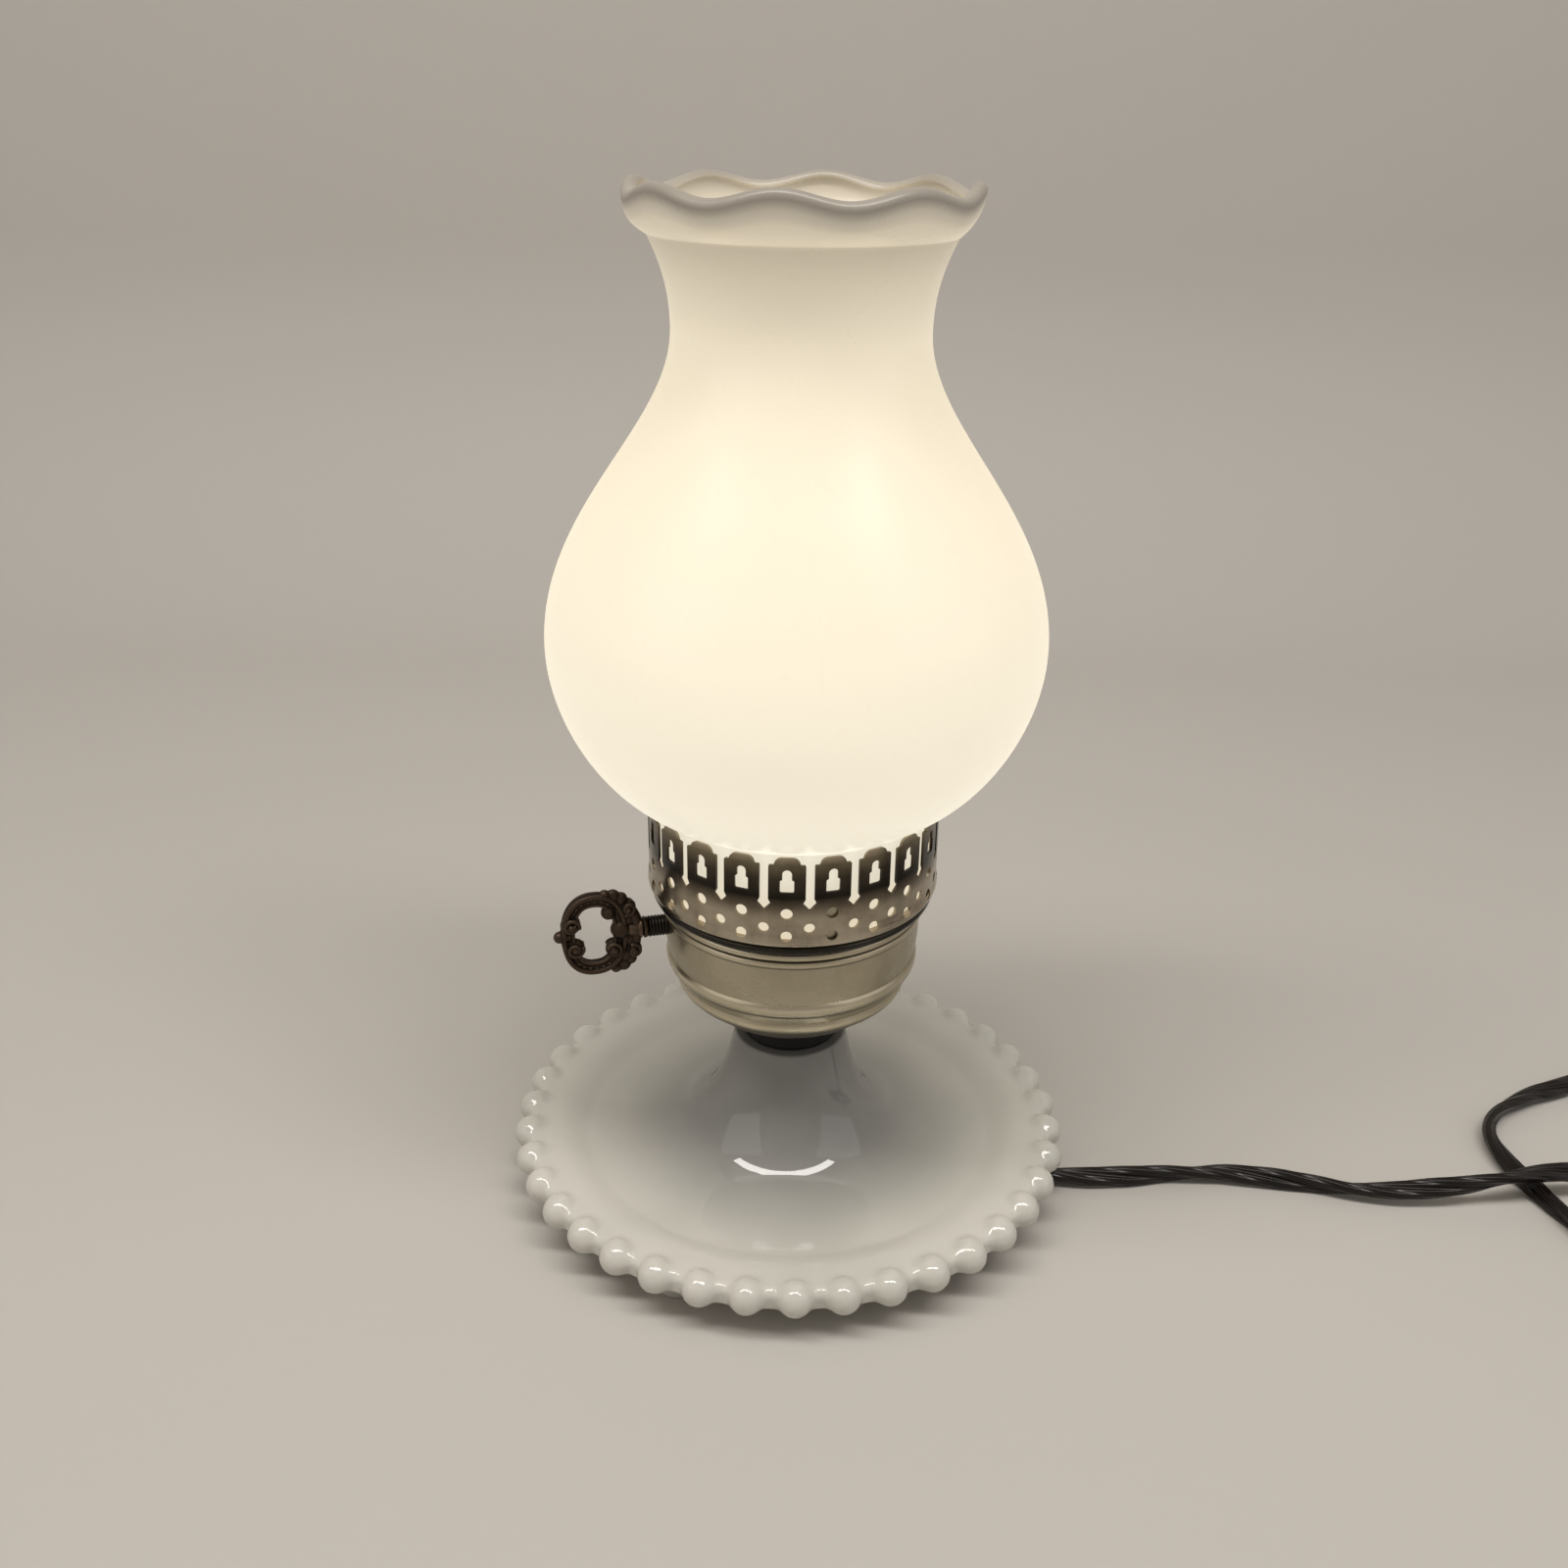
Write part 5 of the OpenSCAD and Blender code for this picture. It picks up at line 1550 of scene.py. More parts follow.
@dataclass
class TurnKey:
    """The cast scroll key, its bushing and the switch that it turns."""

    key_z: float = 85.7
    angle: float = 195.0
    bushing_r: float = 3.0
    bushing_in: float = 33.2
    bushing_end: float = 41.9
    thread_pitch: float = 0.9
    thread_depth: float = 0.28
    shaft_r: float = 1.6
    collar_start: float = 42.1
    bow_tip: float = 68.3
    ring_mid: float = 56.9
    ring_z: float = -0.3
    half_h: float = 10.6
    half_w: float = 7.3
    squareness: float = 0.85
    band: float = 1.75
    thick: float = 1.9
    voxel_mm: float = 0.2
    dot_r: float = 0.42
    dots: int = 6
    # Place along and above the shaft and size of each scroll, boss and lobe. A scroll also has
    # the angle at which it begins and how far it winds.
    volutes: tuple[tuple[float, ...], ...] = (
        (63.4, 3.2, 2.9, 200, -420), (62.5, -4.1, 2.9, 160, 420), (51.4, -5.6, 2.6, 20, 420),
        (47.4, 7.1, 2.4, 300, -400), (46.0, -6.4, 2.4, 60, 400),
    )  # fmt: skip
    bosses: tuple[Point3, ...] = ((52.8, 5.9, 2.1), (49.5, 0.3, 2.9))
    lobes: tuple[Point3, ...] = (
        (53.7, 11.5, 1.5), (51.4, 10.9, 2.0), (49.3, 9.8, 2.0), (51.1, -11.9, 1.6),
        (48.9, -11.0, 2.1), (46.9, -9.5, 1.8), (49.4, 7.0, 2.2), (47.6, 3.4, 2.3),
        (47.4, -3.2, 2.4), (48.6, -7.8, 2.4),
    )  # fmt: skip

    def frame(self) -> Matrix:
        """Returns the key's own frame: X out along the shaft, Z up."""
        turn = Matrix.Rotation(math.radians(self.angle), 4, "Z")
        return Matrix.Translation((0, 0, self.key_z)) @ turn

    def oval(self, angle: float, out: float = 0.0, depth: float = 0.0) -> Vector:
        """A point on the ring's oval.

        Args:
            angle: Angle in degrees, from the tip upwards.
            out: How far outside the ring's middle line.
            depth: How far in front of the ring's middle plane.

        Returns:
            The point, in the key's frame.
        """
        a = math.radians(angle)
        c, s = math.cos(a), math.sin(a)
        x = math.copysign(abs(c) ** self.squareness, c) * self.half_w
        z = math.copysign(abs(s) ** self.squareness, s) * self.half_h
        n = Vector((c / self.half_w, s / self.half_h)).normalized()
        return Vector((self.ring_mid + x + n.x * out, depth, self.ring_z + z + n.y * out))

    @staticmethod
    def mould(
        shape: Shape, path: Sequence[Vector], radii: Sequence[float], loop: bool = False
    ) -> None:
        """Adds a round moulding along a path in the ring's plane.

        Args:
            shape: The shape to add to.
            path: The path.
            radii: Radius at each point.
            loop: True when the path closes.
        """
        shape.sweep(path, lambda i: arc((0, 0), radii[i], 0, 330, 11), facing(0, 1, 0), loop)

    def volute(
        self, shape: Shape, x: float, z: float, size: float, start: float, turn: float
    ) -> None:
        """Adds a scroll: a boss with a spiral moulding and an eye, on both faces.

        Args:
            shape: The shape to add to.
            x: Place along the shaft.
            z: Place above the shaft.
            size: Outer radius of the scroll.
            start: Angle at which the spiral begins, in degrees.
            turn: How far the spiral winds, in degrees.
        """
        shape.ball((x, 0, z), (size, self.thick * 0.95, size))
        way = spaced(0, 1, 28)
        for face in (-1, 1):
            path = []
            for t in way:
                a, r = math.radians(start + turn * t), size * (0.8 - 0.5 * t)
                y = face * self.thick * (0.8 + 0.3 * t)
                path.append(Vector((x + r * math.cos(a), y, z + r * math.sin(a))))
            self.mould(shape, path, [0.66 - 0.16 * t for t in way])
            shape.ball((x, face * self.thick * 1.1, z), (0.9, 0.8, 0.9))

    def casting(self) -> Shape:
        """Builds the bow's masses, which overlap before they are fused.

        Returns:
            The bow, in the key's frame.
        """
        angles = spaced(0, 360, 96)[:-1]
        flat = [(x * self.thick * 0.5, y * self.band) for x, y in arc((0, 0), 1, 0, 345, 23)]
        bow = Shape().sweep([self.oval(a) for a in angles], lambda i: flat, facing(0, 1, 0), True)
        for face in (-1, 1):
            for out, size, depth in ((1.2, 0.8, 0.5), (-1.4, 0.48, 0.42)):
                path = [self.oval(a, out, face * self.thick * depth) for a in angles]
                self.mould(bow, path, [size] * len(path), True)
        bow.ball((self.bow_tip - 1.7, 0, self.ring_z), (1.7, 1.7, 1.7))
        bow.ball((self.bow_tip - 3.6, 0, self.ring_z), (2.0, 1.5, 1.3))
        for volute in self.volutes:
            self.volute(bow, *volute)
        for x, z, size in self.bosses:
            bow.ball((x, 0, z), (size, min(size, self.thick * 1.35), size))
        for x, z, size in self.lobes:
            bow.ball((x, 0, z), (size, self.thick * 0.8, size))
        for x, z, *_ in self.volutes[3:]:
            stalk = [Vector(p) for p in ((44.8, 0, 0), (45.4, 0, z * 0.5), (x - 0.2, 0, z))]
            path = smooth_route(stalk, 6)
            self.mould(bow, path, [1.7] * len(path))
        self.mould(bow, [Vector((42.6 + i, 0, 0)) for i in range(8)], [1.9] * 8)
        return bow

    def collar_profile(self) -> list[Point2]:
        """Draws the section of the collar between the bow and the bushing.

        Returns:
            Its points.
        """
        rings = [(0, 0), (2.6, 0), (3.05, 0.3), (3.05, 0.95), (2.45, 1.2), (2.45, 1.4)]
        rings += [(2.95, 1.65), (2.95, 2.35), (2.3, 2.8), (1.9, 5.2), (0, 5.2)]
        return [(r, self.collar_start + s) for r, s in rings]

    def bushing_profile(self) -> list[Point2]:
        """Draws the bushing's section: a threaded barrel with a chamfered end.

        Returns:
            Its points.
        """
        r, bore, root = self.bushing_r, self.shaft_r + 0.05, self.bushing_r - self.thread_depth
        barrel = [(bore, self.bushing_in), (r - 0.25, self.bushing_in)]
        s = self.bushing_in + 0.5
        while s < self.bushing_end - 1.0:
            barrel += [(root, s), (r, s + 0.25), (r, s + 0.45), (root, s + 0.7)]
            s += self.thread_pitch
        return barrel + [(r - 0.1, s + 0.1), (r - 0.6, self.bushing_end), (bore, self.bushing_end)]

    def build(self, dresser: Dresser, row: Tree) -> None:
        """Builds the key and its bushing, and dresses the switch.

        Args:
            dresser: Puts the finishes on.
            row: The tree that sets dots along a line.
        """
        place, lie = self.frame(), Matrix.Rotation(math.radians(90), 4, "Y")
        bow = self.casting().moved(place).piece("cast_bow")
        fuse = bow.modifiers.new("fuse", "REMESH")
        fuse.mode, fuse.voxel_size = "VOXEL", self.voxel_mm * MM
        melt = bow.modifiers.new("melt", "SMOOTH")
        melt.factor, melt.iterations = 0.5, 3
        collar = Shape().lathe(self.collar_profile(), steps=40).moved(lie).moved(place)
        parts = [bake(bow), collar.piece("key_collar")]
        bronze = dresser.material(KEY_BRONZE)
        sizes = {"Count": self.dots, "Dome": self.dot_r * MM, "Material": bronze}
        for face in (-1, 1):
            depth = face * (self.thick * 0.5 + 0.05)
            for first, last in ((52, 118), (242, 308)):
                points = [place @ self.oval(a, 0, depth) * MM for a in spaced(first, last, 24)]
                line = bpy.data.meshes.new("dot_line")
                line.from_pydata(points, [(i, i + 1) for i in range(len(points) - 1)], [])
                parts.append(grow(put("key_dots", line), row, sizes))
        key = join("scroll_key", parts, crease=60)
        dresser.piece(key, KEY_BRONZE, "key", "antique_bronze", "key_bow")
        bushing = Shape().lathe(self.bushing_profile(), steps=48).moved(place @ lie)
        barrel = bushing.piece("threaded_bushing", crease=50)
        dresser.piece(barrel, BUSHING_BLACK, "base", "antique_bronze", "key_bushing")
        dresser.keep(KEY_BRONZE, "key_shaft")
        dresser.keep(PHENOLIC, "switch_rotor")
        dresser.keep(SOCKET_BRASS, "contact_leaf")


@dataclass
class SocketAndBulb:
    """The screw socket and the lit bulb in it."""

    shell_z: float = 95.0
    shell_r: float = 13.45
    shell_t: float = 0.5
    shell_h: float = 22.0
    bulb_z: float = 96.2
    bulb_cap_r: float = 13.1
    bulb_cap_h: float = 25.0
    bulb_neck_r: float = 12.4
    bulb_r: float = 30.0
    bulb_len: float = 110.0
    glass_t: float = 0.8
    pitch: float = 3.63
    groove: float = 0.45
    # Length of a curve's handles, as a share of the radius, for a quarter of a circle.
    quarter: float = 0.5523

    def rolled(self, profile: list[Point2], r: float, low: float, ends: Point2, out: int) -> Shape:
        """Turns a sheet and rolls the thread in it.

        Args:
            profile: The sheet's section.
            r: Radius from which outwards the sheet is rolled.
            low: Height at which the thread would begin.
            ends: Heights between which it is rolled.
            out: 1 for a thread that bulges out, or -1 for one that is pressed in.

        Returns:
            The threaded sheet.
        """

        def roll(i: int, a: float) -> Point2:
            """Lifts a profile point.

            Args:
                i: Number of the profile's point.
                a: The angle, in radians.

            Returns:
                What its radius and height gain.
            """
            at, z = profile[i]
            if at < r or not ends[0] <= z <= ends[1]:
                return 0.0, 0.0
            return out * self.groove * (1 - math.cos(FULL * (z - low) / self.pitch - a)), 0.0

        return Shape().lathe(profile, 64, roll)

    def shell(self) -> Shape:
        """Shapes the socket's threaded shell, its grooves outside the bulb's way.

        Returns:
            The shell.
        """
        low, high, r, t = self.shell_z, self.shell_z + self.shell_h, self.shell_r, self.shell_t
        levels = spaced(low + 0.6, high, 66)
        profile = [(r - 4, low), (r + t, low), *((r + t, z) for z in levels)]
        profile += [*((r, z) for z in reversed(levels)), (r - 4, low + t)]
        return self.rolled(profile, r, low, (low + 1.2, high - 1.2), 1)

    def cap(self) -> Shape:
        """Shapes the bulb's threaded cap, its crests at the cap's full radius.

        Returns:
            The cap.
        """
        low, high = self.bulb_z + 3, self.bulb_z + self.bulb_cap_h
        r, rim, back = self.bulb_cap_r, self.bulb_neck_r - 2, self.bulb_cap_r - 1.5
        profile = [(4.5, low), (8.5, low), (r - 0.6, low + 2.2)]
        profile += [(r, z) for z in spaced(low + 2.8, high, 60)]
        profile += [(rim, high), (rim, high - 0.7), (back, high - 0.7), (back, low + 3.4)]
        profile += [(8.1, low + 0.6), (4.5, low + 0.6)]
        return self.rolled(profile, r, low, (low + 3.2, high - 3), -1)

    def globe(self) -> Shape:
        """Shapes the bulb's blown glass, with its wall.

        Returns:
            The glass.
        """
        seam, top = self.bulb_z + self.bulb_cap_h + 0.02, self.bulb_z + self.bulb_len
        mid, r, neck, t = top - self.bulb_r, self.bulb_r, self.bulb_neck_r, self.glass_t
        outer = bezier([(neck, seam), (neck + 1.5, seam + 17), (r, mid - r * 0.72), (r, mid)], 30)
        k = r * self.quarter
        outer += bezier([(r, mid), (r, mid + k), (k, top), (0, top)], 22)[1:]
        inner = inset(outer, t)[::-1]
        return Shape().lathe([*outer, (0, top - t), *inner[1:-1], (neck - t, seam)], 96)

    def build(self, dresser: Dresser) -> None:
        """Builds what shows of the socket and bulb, and dresses the rest.

        Args:
            dresser: Puts the finishes on.
        """
        shell = self.shell().piece("rolled_shell", crease=50)
        cap = self.cap().piece("rolled_cap", crease=50)
        globe = self.globe().piece("bulb_globe", crease=50)
        dresser.piece(shell, SOCKET_BRASS, "base", "brass", "screw_shell")
        dresser.piece(cap, CAP_ALUMINIUM, "bulb", "aluminium", "bulb_cap")
        dresser.piece(globe, BULB_GLASS, "bulb", "frosted_glass", "bulb_glass")
        dresser.keep(SOCKET_BRASS, "socket_cap", "terminal_screws", "centre_contact", "bulb_tip")
        dresser.keep(PHENOLIC, "socket_body")
        dresser.keep(CORD_VINYL, "lead_wires")
        dresser.keep(VITRITE, "bulb_insulator")
        dresser.keep(STEM_GLASS, "bulb_filament")


@dataclass
class GlassShade:
    """The opal chimney with its scalloped mouth."""

    foot_z: float = 97.5
    collar_r: float = 38.0
    collar_h: float = 24.0
    belly_r: float = 66.1
    belly_h: float = 71.0
    throat_r: float = 32.0
    throat_h: float = 150.5
    crease_r: float = 37.3
    crease_h: float = 172.2
    mouth_r: float = 41.2
    mouth_h: float = 181.8
    mouth_tilt: float = 1.1
    wall: float = 2.6
    lip_r: float = 1.9
    lip_steps: int = 14
    scallops: int = 8
    scallop_h: float = 2.7
    scallop_phase: float = 36.8
    steps: int = 192

    def section(self) -> list[tuple[float, ...]]:
        """Finds the section, up the outside and down the inside.

        Returns:
            Radius and height of each point, its share of the scallops' rise and of the
            mouth's tilt, its share of the way from the crease to the lip, and 1 where it
            lies on the inner face.
        """
        c, k, n = self.collar_r, self.collar_h, self.lip_steps
        belly, throat = (self.belly_r, self.belly_h), (self.throat_r, self.throat_h)
        crease, mouth = (self.crease_r, self.crease_h), (self.mouth_r, self.mouth_h)
        (br, bh), (tr, th), (cr, ch), (mr, mh) = belly, throat, crease, mouth
        fillet = [(c, k), (c, k + 1.6), (c + 0.9, k + 1.9), (c + 2.8, k + 3)]
        lower = [fillet[3], (c + 17, k + 10.2), (br, bh - 17.5), belly]
        upper = [belly, (br, bh + 34), (tr, th - 24), throat]
        flare = [throat, (tr, th + 10), (tr + 2.6, th + 16), crease]
        edge = [crease, (cr + 2.1, ch + 1.7), (mr + 1.4, ch + 3.8), (mr + self.lip_r, mh - 0.4)]
        way = spaced(0, 1, 16)[1:]
        body = [(c, 1.0), (c, 8.0), (c, 16.0), *bezier(fillet, 8)]
        body += bezier(lower, 26)[1:] + bezier(upper, 40)[1:]
        outer = [(*p, 0.0, 0.0, 0.0) for p in body]
        outer += [(*p, 0.0, ease(t), 0.0) for p, t in zip(bezier(flare, 16)[1:], way)]
        outer += [(*p, ease(t), 1.0, t) for p, t in zip(bezier(edge, 16)[1:], way)]
        moved = inset([row[:2] for row in outer], self.wall)
        rows = [(*row, 0.0) for row in outer]
        lip = arc(mouth, self.lip_r, 0, 165, n)
        rows += [(*p, 1.0, 1.0, 1.0, i / n) for i, p in enumerate(lip)]
        rows += [(*p, *row[2:], 1.0) for p, row in reversed(list(zip(moved, outer)))]
        rows += [(r, 0.0, 0.0, 0.0, 0.0, 0.0) for r in (c - self.wall + 1.0, c - 1.0)]
        return [(r, z + self.foot_z, *rest) for r, z, *rest in rows]

    def build(self, dresser: Dresser) -> None:
        """Builds the shade with its scallops, and marks its lip and inner face.

        Args:
            dresser: Puts the finishes on.
        """
        rows = self.section()
        phase = math.radians(90 - self.scallop_phase)

        def scallop(i: int, a: float) -> Point2:
            """Returns what a profile point gains at an angle."""
            wave = math.cos(self.scallops * (a + phase)) * self.scallop_h / 2
            return 0.0, rows[i][2] * wave - rows[i][3] * self.mouth_tilt * math.sin(a)

        glass = Shape().lathe([row[:2] for row in rows], self.steps, scallop)
        chimney = glass.piece("opal_chimney", crease=60)
        for name, k in (("lip", 4), ("inside", 5)):
            mark = chimney.data.attributes.new(name, "FLOAT", "POINT")
            mark.data.foreach_set("value", [row[k] for row in rows] * self.steps)
        nodes = ("shade_collar", "glass_shade", "shade_mouth")
        dresser.piece(chimney, OPAL_GLASS, "shade", "opal_glass", *nodes)


@dataclass
class LampCord:
    """The twisted two-wire cord, its coil, strap and plug."""

    width: float = 6.0
    thick: float = 3.5
    lowest: float = 3.05
    half_twist: float = 47.0
    lead_twist: float = 1.2
    rib: float = 0.13
    ribs: int = 7
    lead_wrap: float = 128.0
    envelope: float = 5.2
    coil_centre: Point2 = (288.0, -84.0)
    coil_out_r: float = 39.7
    coil_in_r: float = 22.3
    pitch: float = 5.8
    coil_z: float = 4.0
    turns: int = 3
    turn_steps: int = 48
    dip: float = 1.6
    tail_len: float = 40.0
    plug_len: float = 32.0
    plug_w: float = 25.0
    plug_t: float = 16.0
    grip: float = 6.0
    sleeve_len: float = 24.0
    sleeve_half: Point2 = (3.15, 2.0)
    sleeve_grooves: int = 8
    groove: float = 0.32
    tie_w: float = 6.0
    tie_t: float = 1.0
    route: tuple[Point3, ...] = (
        (0, 0, 36), (0, 0, 33), (0, 0, 29.5), (2, -0.3, 19), (7.5, -1.2, 10.6), (15.8, -2.5, 5),
        (26, -4.2, 3), (54, -8.8, 2.8), (81.5, -13.2, 2.8), (100, -13.4, 2.8), (115, -11.8, 2.8),
        (130, -11, 2.8), (143, -12.8, 2.8), (156, -15.4, 2.8), (168, -18.2, 3.4),
        (181, -20.2, 4.6), (198, -20.8, 7), (212, -19.2, 8.6), (224, -17, 9), (235, -15.6, 8.4),
        (251, -15.2, 6), (268, -14, 3.8), (285, -9, 2.8), (298, 2, 2.8), (304, 17, 2.8),
        (302, 33, 2.8), (292, 46, 2.8), (276, 48.5, 2.8), (257, 37, 2.8), (241, 30.4, 2.8),
        (227.5, 21.5, 2.8), (220.5, 11, 2.8), (219.8, -1.5, 2.8), (222.5, -14, 2.8),
        (227.4, -29.7, 2.8), (234.5, -46, 2.8), (242.4, -61, 3.2),
    )  # fmt: skip

    def ends(self) -> tuple[Vector, Vector]:
        """Finds the coil's two ends.

        Returns:
            Where the cord enters the coil and where it leaves it.
        """
        x, y, z = *self.coil_centre, self.coil_z
        entry = Vector((x - self.coil_out_r, y + self.envelope, z))
        return entry, Vector((x + self.coil_out_r, y + self.envelope, z + self.pitch))

    def coil(self) -> list[Vector]:
        """Winds the coil: in on the lower layer, up at the eye, out on the upper.

        Returns:
            Its path.
        """
        out = []
        x, y = self.coil_centre
        for i in range(1, round((2 * self.turns + 0.5) * self.turn_steps)):
            turn = i / self.turn_steps
            a, climb = math.pi + FULL * turn, FULL * (turn - self.turns)
            back = turn - self.turns - 0.5
            if turn <= self.turns:
                r, z = self.coil_out_r - turn * self.pitch, self.coil_z
            elif back >= 0:
                r, z = self.coil_in_r + back * self.pitch, self.coil_z + self.pitch
            else:
                r = self.coil_in_r - self.dip * math.sin(climb)
                z = self.coil_z + self.pitch * (1 - math.cos(climb)) / 2
            out.append(Vector((x + r * math.cos(a), y + r * math.sin(a), z)))
        return out

    def path(self) -> tuple[list[Vector], int]:
        """Lays the whole cord.

        Returns:
            Its path, and the number of the path's points before the coil.
        """
        entry, leave = self.ends()
        points = [Vector((x, y, max(z, self.lowest))) for x, y, z in self.route]
        points += [entry + Vector((0, k * 0.75 * self.envelope, 0)) for k in (2, 1, 0)]
        run = smooth_route(points, 12)
        tail = [leave + Vector((0, y, 0)) for y in spaced(0, self.tail_len, 8)]
        return run + self.coil() + tail, len(run)

    def outline(self) -> list[Point2]:
        """Draws the cord's section: two ribbed leads joined by a web.

        Returns:
            Its points.
        """
        lobe = self.thick / 2
        middle, notch = self.width / 2 - lobe, 0.62 * lobe
        side = []
        for turn in spaced(-self.lead_wrap, self.lead_wrap, 28):
            a = math.radians(turn)
            r = lobe * (1 - self.rib * (0.5 - 0.5 * math.cos(self.ribs * a)))
            side.append((middle + r * math.cos(a), r * math.sin(a)))
        return [*side, (0.0, notch), *((-x, -y) for x, y in side), (0.0, -notch)]

    def build_cord(self, dresser: Dresser) -> tuple[Piece, list[Vector]]:
        """Builds the cord along its route.

        Args:
            dresser: Puts the finish on.

        Returns:
            The cord and its path.
        """
        path, run = self.path()
        along = [0.0]
        for a, b in zip(path, path[1:]):
            along.append(along[-1] + (b - a).length)
        winding = math.pi * round(along[run] / self.half_twist) + self.lead_twist
        section = self.outline()

        def side(t: Vector, i: int) -> Vector:
            """Turns the cord's section.

            Args:
                t: The path's direction.
                i: Number of the path's point.

            Returns:
                The way that the two leads lie there.
            """
            level = Vector((-t.y, t.x, 0))
            if level.length < 0.05:
                level = Vector((0.16, 1, 0))
            level.normalize()
            angle = winding * min(1.0, along[i] / along[run]) - self.lead_twist
            return level * math.cos(angle) + t.cross(level) * math.sin(angle)

        cord = Shape().sweep(path, lambda i: section, side).piece("twisted_cord", crease=70)
        nodes = ("cord_run", "cord_coil", "cord_tail")
        return dresser.piece(cord, CORD_VINYL, "base", "cord_brown", *nodes), path

    def plug_ring(self, at: float) -> list[Point2]:
        """Finds the plug's section at a share of its length, from the cord's end.

        Args:
            at: The share, from 0 to 1.

        Returns:
            The section's outline.
        """
        neck, w, t = self.envelope + 3, self.plug_w, self.plug_t
        held = w - self.grip
        widths = [(0, neck), (0.28, neck + 2), (0.42, held), (0.62, held), (0.8, w), (1, w)]
        heights = [(0, neck), (0.28, neck + 1.2), (0.5, t), (1, t)]
        half = []
        for table in (widths, heights):
            (a, low), (b, high) = next(
                pair for pair in zip(table, table[1:]) if pair[0][0] <= at <= pair[1][0]
            )
            half.append((low + (high - low) * ease((at - a) / (b - a))) / 2)
        square = 2.2 + 2.4 * min(1.0, max(0.0, (at - 0.28) / 0.3))
        shrink = 1.0 - 0.06 * max(0.0, (at - 0.96) / 0.04) ** 2
        out = []
        for a in spaced(0, FULL, 48)[:-1]:
            c, s = math.cos(a), math.sin(a)
            r = (abs(c) ** square + abs(s) ** square) ** (-1 / square) * shrink
            out.append((r * c * half[0], r * s * half[1]))
        return out

    def sleeve_ring(self, t: float) -> list[Point2]:
        """Finds the grooved sleeve's section at a share of its length, from its thin end.

        Args:
            t: The share, from 0 to 1.

        Returns:
            The section's outline.
        """
        neck, cut = (self.envelope + 3) / 2, 0.0
        if 0.08 < t < 0.96:
            cut = self.groove * (0.5 - 0.5 * math.cos(FULL * self.sleeve_grooves * t))
        wide, high = (v + (neck - v) * t - cut for v in self.sleeve_half)
        return [(wide * math.cos(a), high * math.sin(a)) for a in spaced(0, FULL, 28)[:-1]]

    def strap(self) -> Shape:
        """Shapes the strap round the coil, which fills the box of the CAD's own.

        Returns:
            The strap.
        """
        low, high = (Vector(corner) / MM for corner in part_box("cord_tie"))
        loop = soften([(low.y, low.z), (high.y, low.z), (high.y, high.z), (low.y, high.z)], 3.0, 8)
        half, t, x = self.tie_w / 2, self.tie_t / 2, (low.x + high.x) / 2
        path = [Vector((x, y, z)) for y, z in inset([*loop, loop[0]], t)[:-1]]
        edge = soften([(-half, -t), (half, -t), (half, t), (-half, t)], 0.3, 2)
        return Shape().sweep(path, lambda i: edge, facing(1, 0, 0), True)

    def build_plug(self, dresser: Dresser) -> list[Piece]:
        """Builds the plug, its tapered sleeve and the strap round the coil.

        Args:
            dresser: Puts the finishes on.

        Returns:
            The pieces that go with the cord.
        """
        start = self.ends()[1] + Vector((0, self.tail_len, 0))

        def moulded(ring: Callable[[float], list[Point2]], ends: Point2, steps: int) -> Shape:
            """Returns a moulding whose section changes between two places past the cord's end."""
            path = [start + Vector((0, y, 0)) for y in spaced(*ends, steps)]
            return Shape().sweep(path, lambda i: ring(i / steps), facing(1, 0, 0))

        plug = moulded(self.plug_ring, (0, self.plug_len), 60).piece("moulded_plug", crease=55)
        dresser.piece(plug, PLUG_VINYL, "base", "cord_brown", "plug_body")
        taper = moulded(self.sleeve_ring, (-self.sleeve_len, 0), 72)
        sleeve = taper.piece("tapered_sleeve", crease=60)
        dresser.piece(sleeve, PLUG_VINYL, "base", "cord_brown")
        tie = self.strap().piece("coil_strap", crease=45)
        dresser.piece(tie, SPACER_RUBBER, "base", "black_plastic", "cord_tie")
        dresser.keep(SOCKET_BRASS, "plug_blades")
        return [plug, sleeve, tie]

    def build(self, dresser: Dresser) -> None:
        """Args:
            dresser: Puts the finishes on.
        """
        cord, path = self.build_cord(dresser)
        pieces = self.build_plug(dresser)


# ---------------------------------------------------------------- the studio


@dataclass(frozen=True)
class SoftLight:
    """A soft oblong light, with its place, aim and size in metres and its power in watts."""

    name: str
    place: Point3
    aim: Point3
    size: Point2
    power: float
    colour: str

    def hang(self) -> None:
        """Hangs the light."""
        data = bpy.data.lights.new(self.name, "AREA")
        data.shape, data.energy = "RECTANGLE", self.power
        data.size, data.size_y = self.size
        data.color = linear(self.colour)[:3]
        obj = put(self.name, data)
        way = Vector(self.aim) - Vector(self.place)
        obj.location, obj.rotation_euler = self.place, way.to_track_quat("-Z", "Y").to_euler()


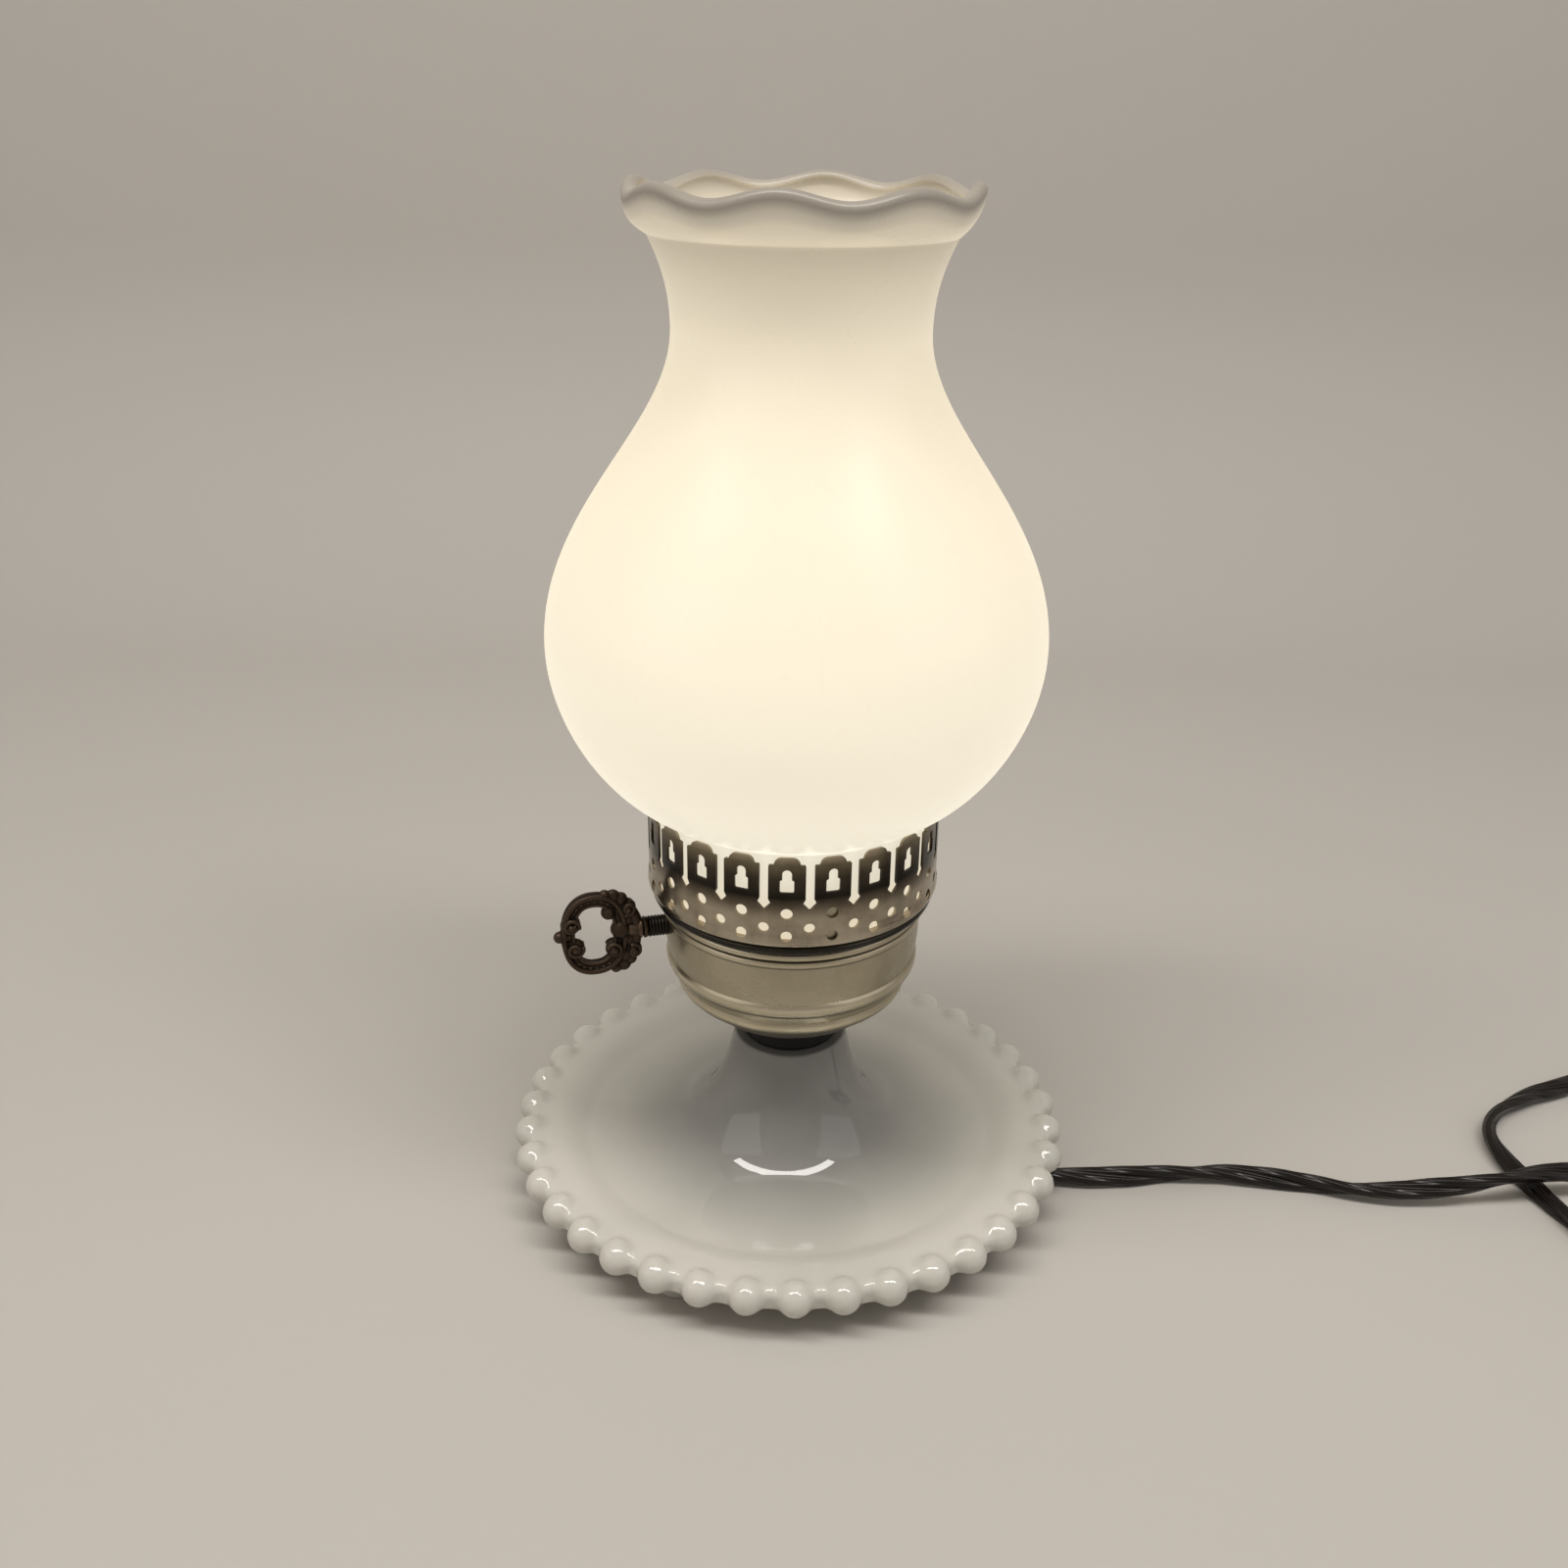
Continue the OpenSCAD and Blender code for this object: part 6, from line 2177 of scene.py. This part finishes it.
@dataclass
class Studio:
    """Floor, light and camera."""

    lens_mm: float = 37.02
    sensor_mm: float = 36.0
    pitch_deg: float = 65.048
    roll_deg: float = 0.783
    place_mm: Point3 = (-2.73, -403.73, 313.08)
    near_m: float = 0.01
    floor_half: float = 9000.0
    wall_y: float = 620.0
    bend_r: float = 200.0
    sky: Stops = ((0.0, "#5a5855"), (0.3, "#807d7a"), (0.75, "#d8d5d1"), (1.0, "#ffffff"))
    lights: tuple[SoftLight, ...] = (
        SoftLight("key_light", (-0.03, -0.32, 1.15), (0, -0.03, 0.02), (1.6, 0.2), 11.5, "#fffcf7"),
        SoftLight("left_light", (-1.5, -0.8, 0.9), (0, 0, 0.12), (1.5, 1.5), 4.0, "#fffcf8"),
        SoftLight("right_light", (1.5, -0.6, 0.9), (0, 0, 0.12), (1.5, 1.5), 3.5, "#fafaff"),
    )

    def build_floor(self, dresser: Dresser) -> None:
        """Lays the paper: a floor that curves up into a backdrop.

        Args:
            dresser: Puts the finishes on.
        """
        far, r = self.floor_half, self.bend_r
        section = [(-far, 0.0), *arc((self.wall_y - r, r), r, -90, 0, 16), (self.wall_y, far)]
        n = len(section)
        verts = [(x, y, z) for x in (-far, far) for y, z in section]
        faces = [(i, n + i, n + i + 1, i + 1) for i in range(n - 1)]
        paper = Shape().add(verts, faces).piece("paper_floor", crease=60)
        dresser.coat(paper, FLOOR_PAPER)

    def build_light(self) -> None:
        """Sets the sky, which shows as a plain backdrop, and hangs the soft lights."""
        scene = bpy.context.scene
        scene.world = bpy.data.worlds.new("studio_sky")
        scene.world.use_nodes = True
        tree = scene.world.node_tree
        way = add(tree, "ShaderNodeTexCoord", out="Generated")
        up = add(tree, SPLIT, {"Vector": way}, "Z")
        sky = add(tree, RAMP, {"Fac": up}, stops=self.sky)
        both = {"Factor": in_plain_sight(tree), 6: sky, 7: linear(BACKDROP)}
        back = {"Color": add(tree, MIX, both, 2, data_type="RGBA"), "Strength": BACKDROP_LEVEL}
        feed(tree, tree.nodes["Background"], back)
        scene.view_settings.view_transform = "Standard"
        for light in self.lights:
            light.hang()

    def build_camera(self) -> None:
        """Stands the camera where the photograph was taken from."""
        data = bpy.data.cameras.new("camera")
        data.sensor_fit, data.sensor_width = "HORIZONTAL", self.sensor_mm
        data.lens, data.clip_start = self.lens_mm, self.near_m
        camera = put("camera", data)
        pitch = Matrix.Rotation(math.radians(self.pitch_deg), 4, "X")
        roll = Matrix.Rotation(math.radians(self.roll_deg), 4, "Z")
        place = Matrix.Translation(Vector(self.place_mm) * MM)
        camera.matrix_world = place @ (pitch @ roll)
        bpy.context.scene.camera = camera


def main() -> None:
    """Builds the lamp and its studio in order."""
    logging.basicConfig(level=logging.INFO, format="%(name)s: %(message)s")
    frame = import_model()
    dresser = Dresser(frame["nodes"])
    studio = Studio()
    studio.build_camera()
    LampCord().build(dresser)
    ring, row, thread = Pattern.ring(), Pattern.row(), Pattern.thread()
    GlassBase().build(dresser, ring)
    StemHardware().build(dresser, thread)
    Burner().build(dresser, ring)
    TurnKey().build(dresser, row)
    SocketAndBulb().build(dresser)
    GlassShade().build(dresser)
    studio.build_floor(dresser)
    studio.build_light()


if __name__ == "__main__":
    main()
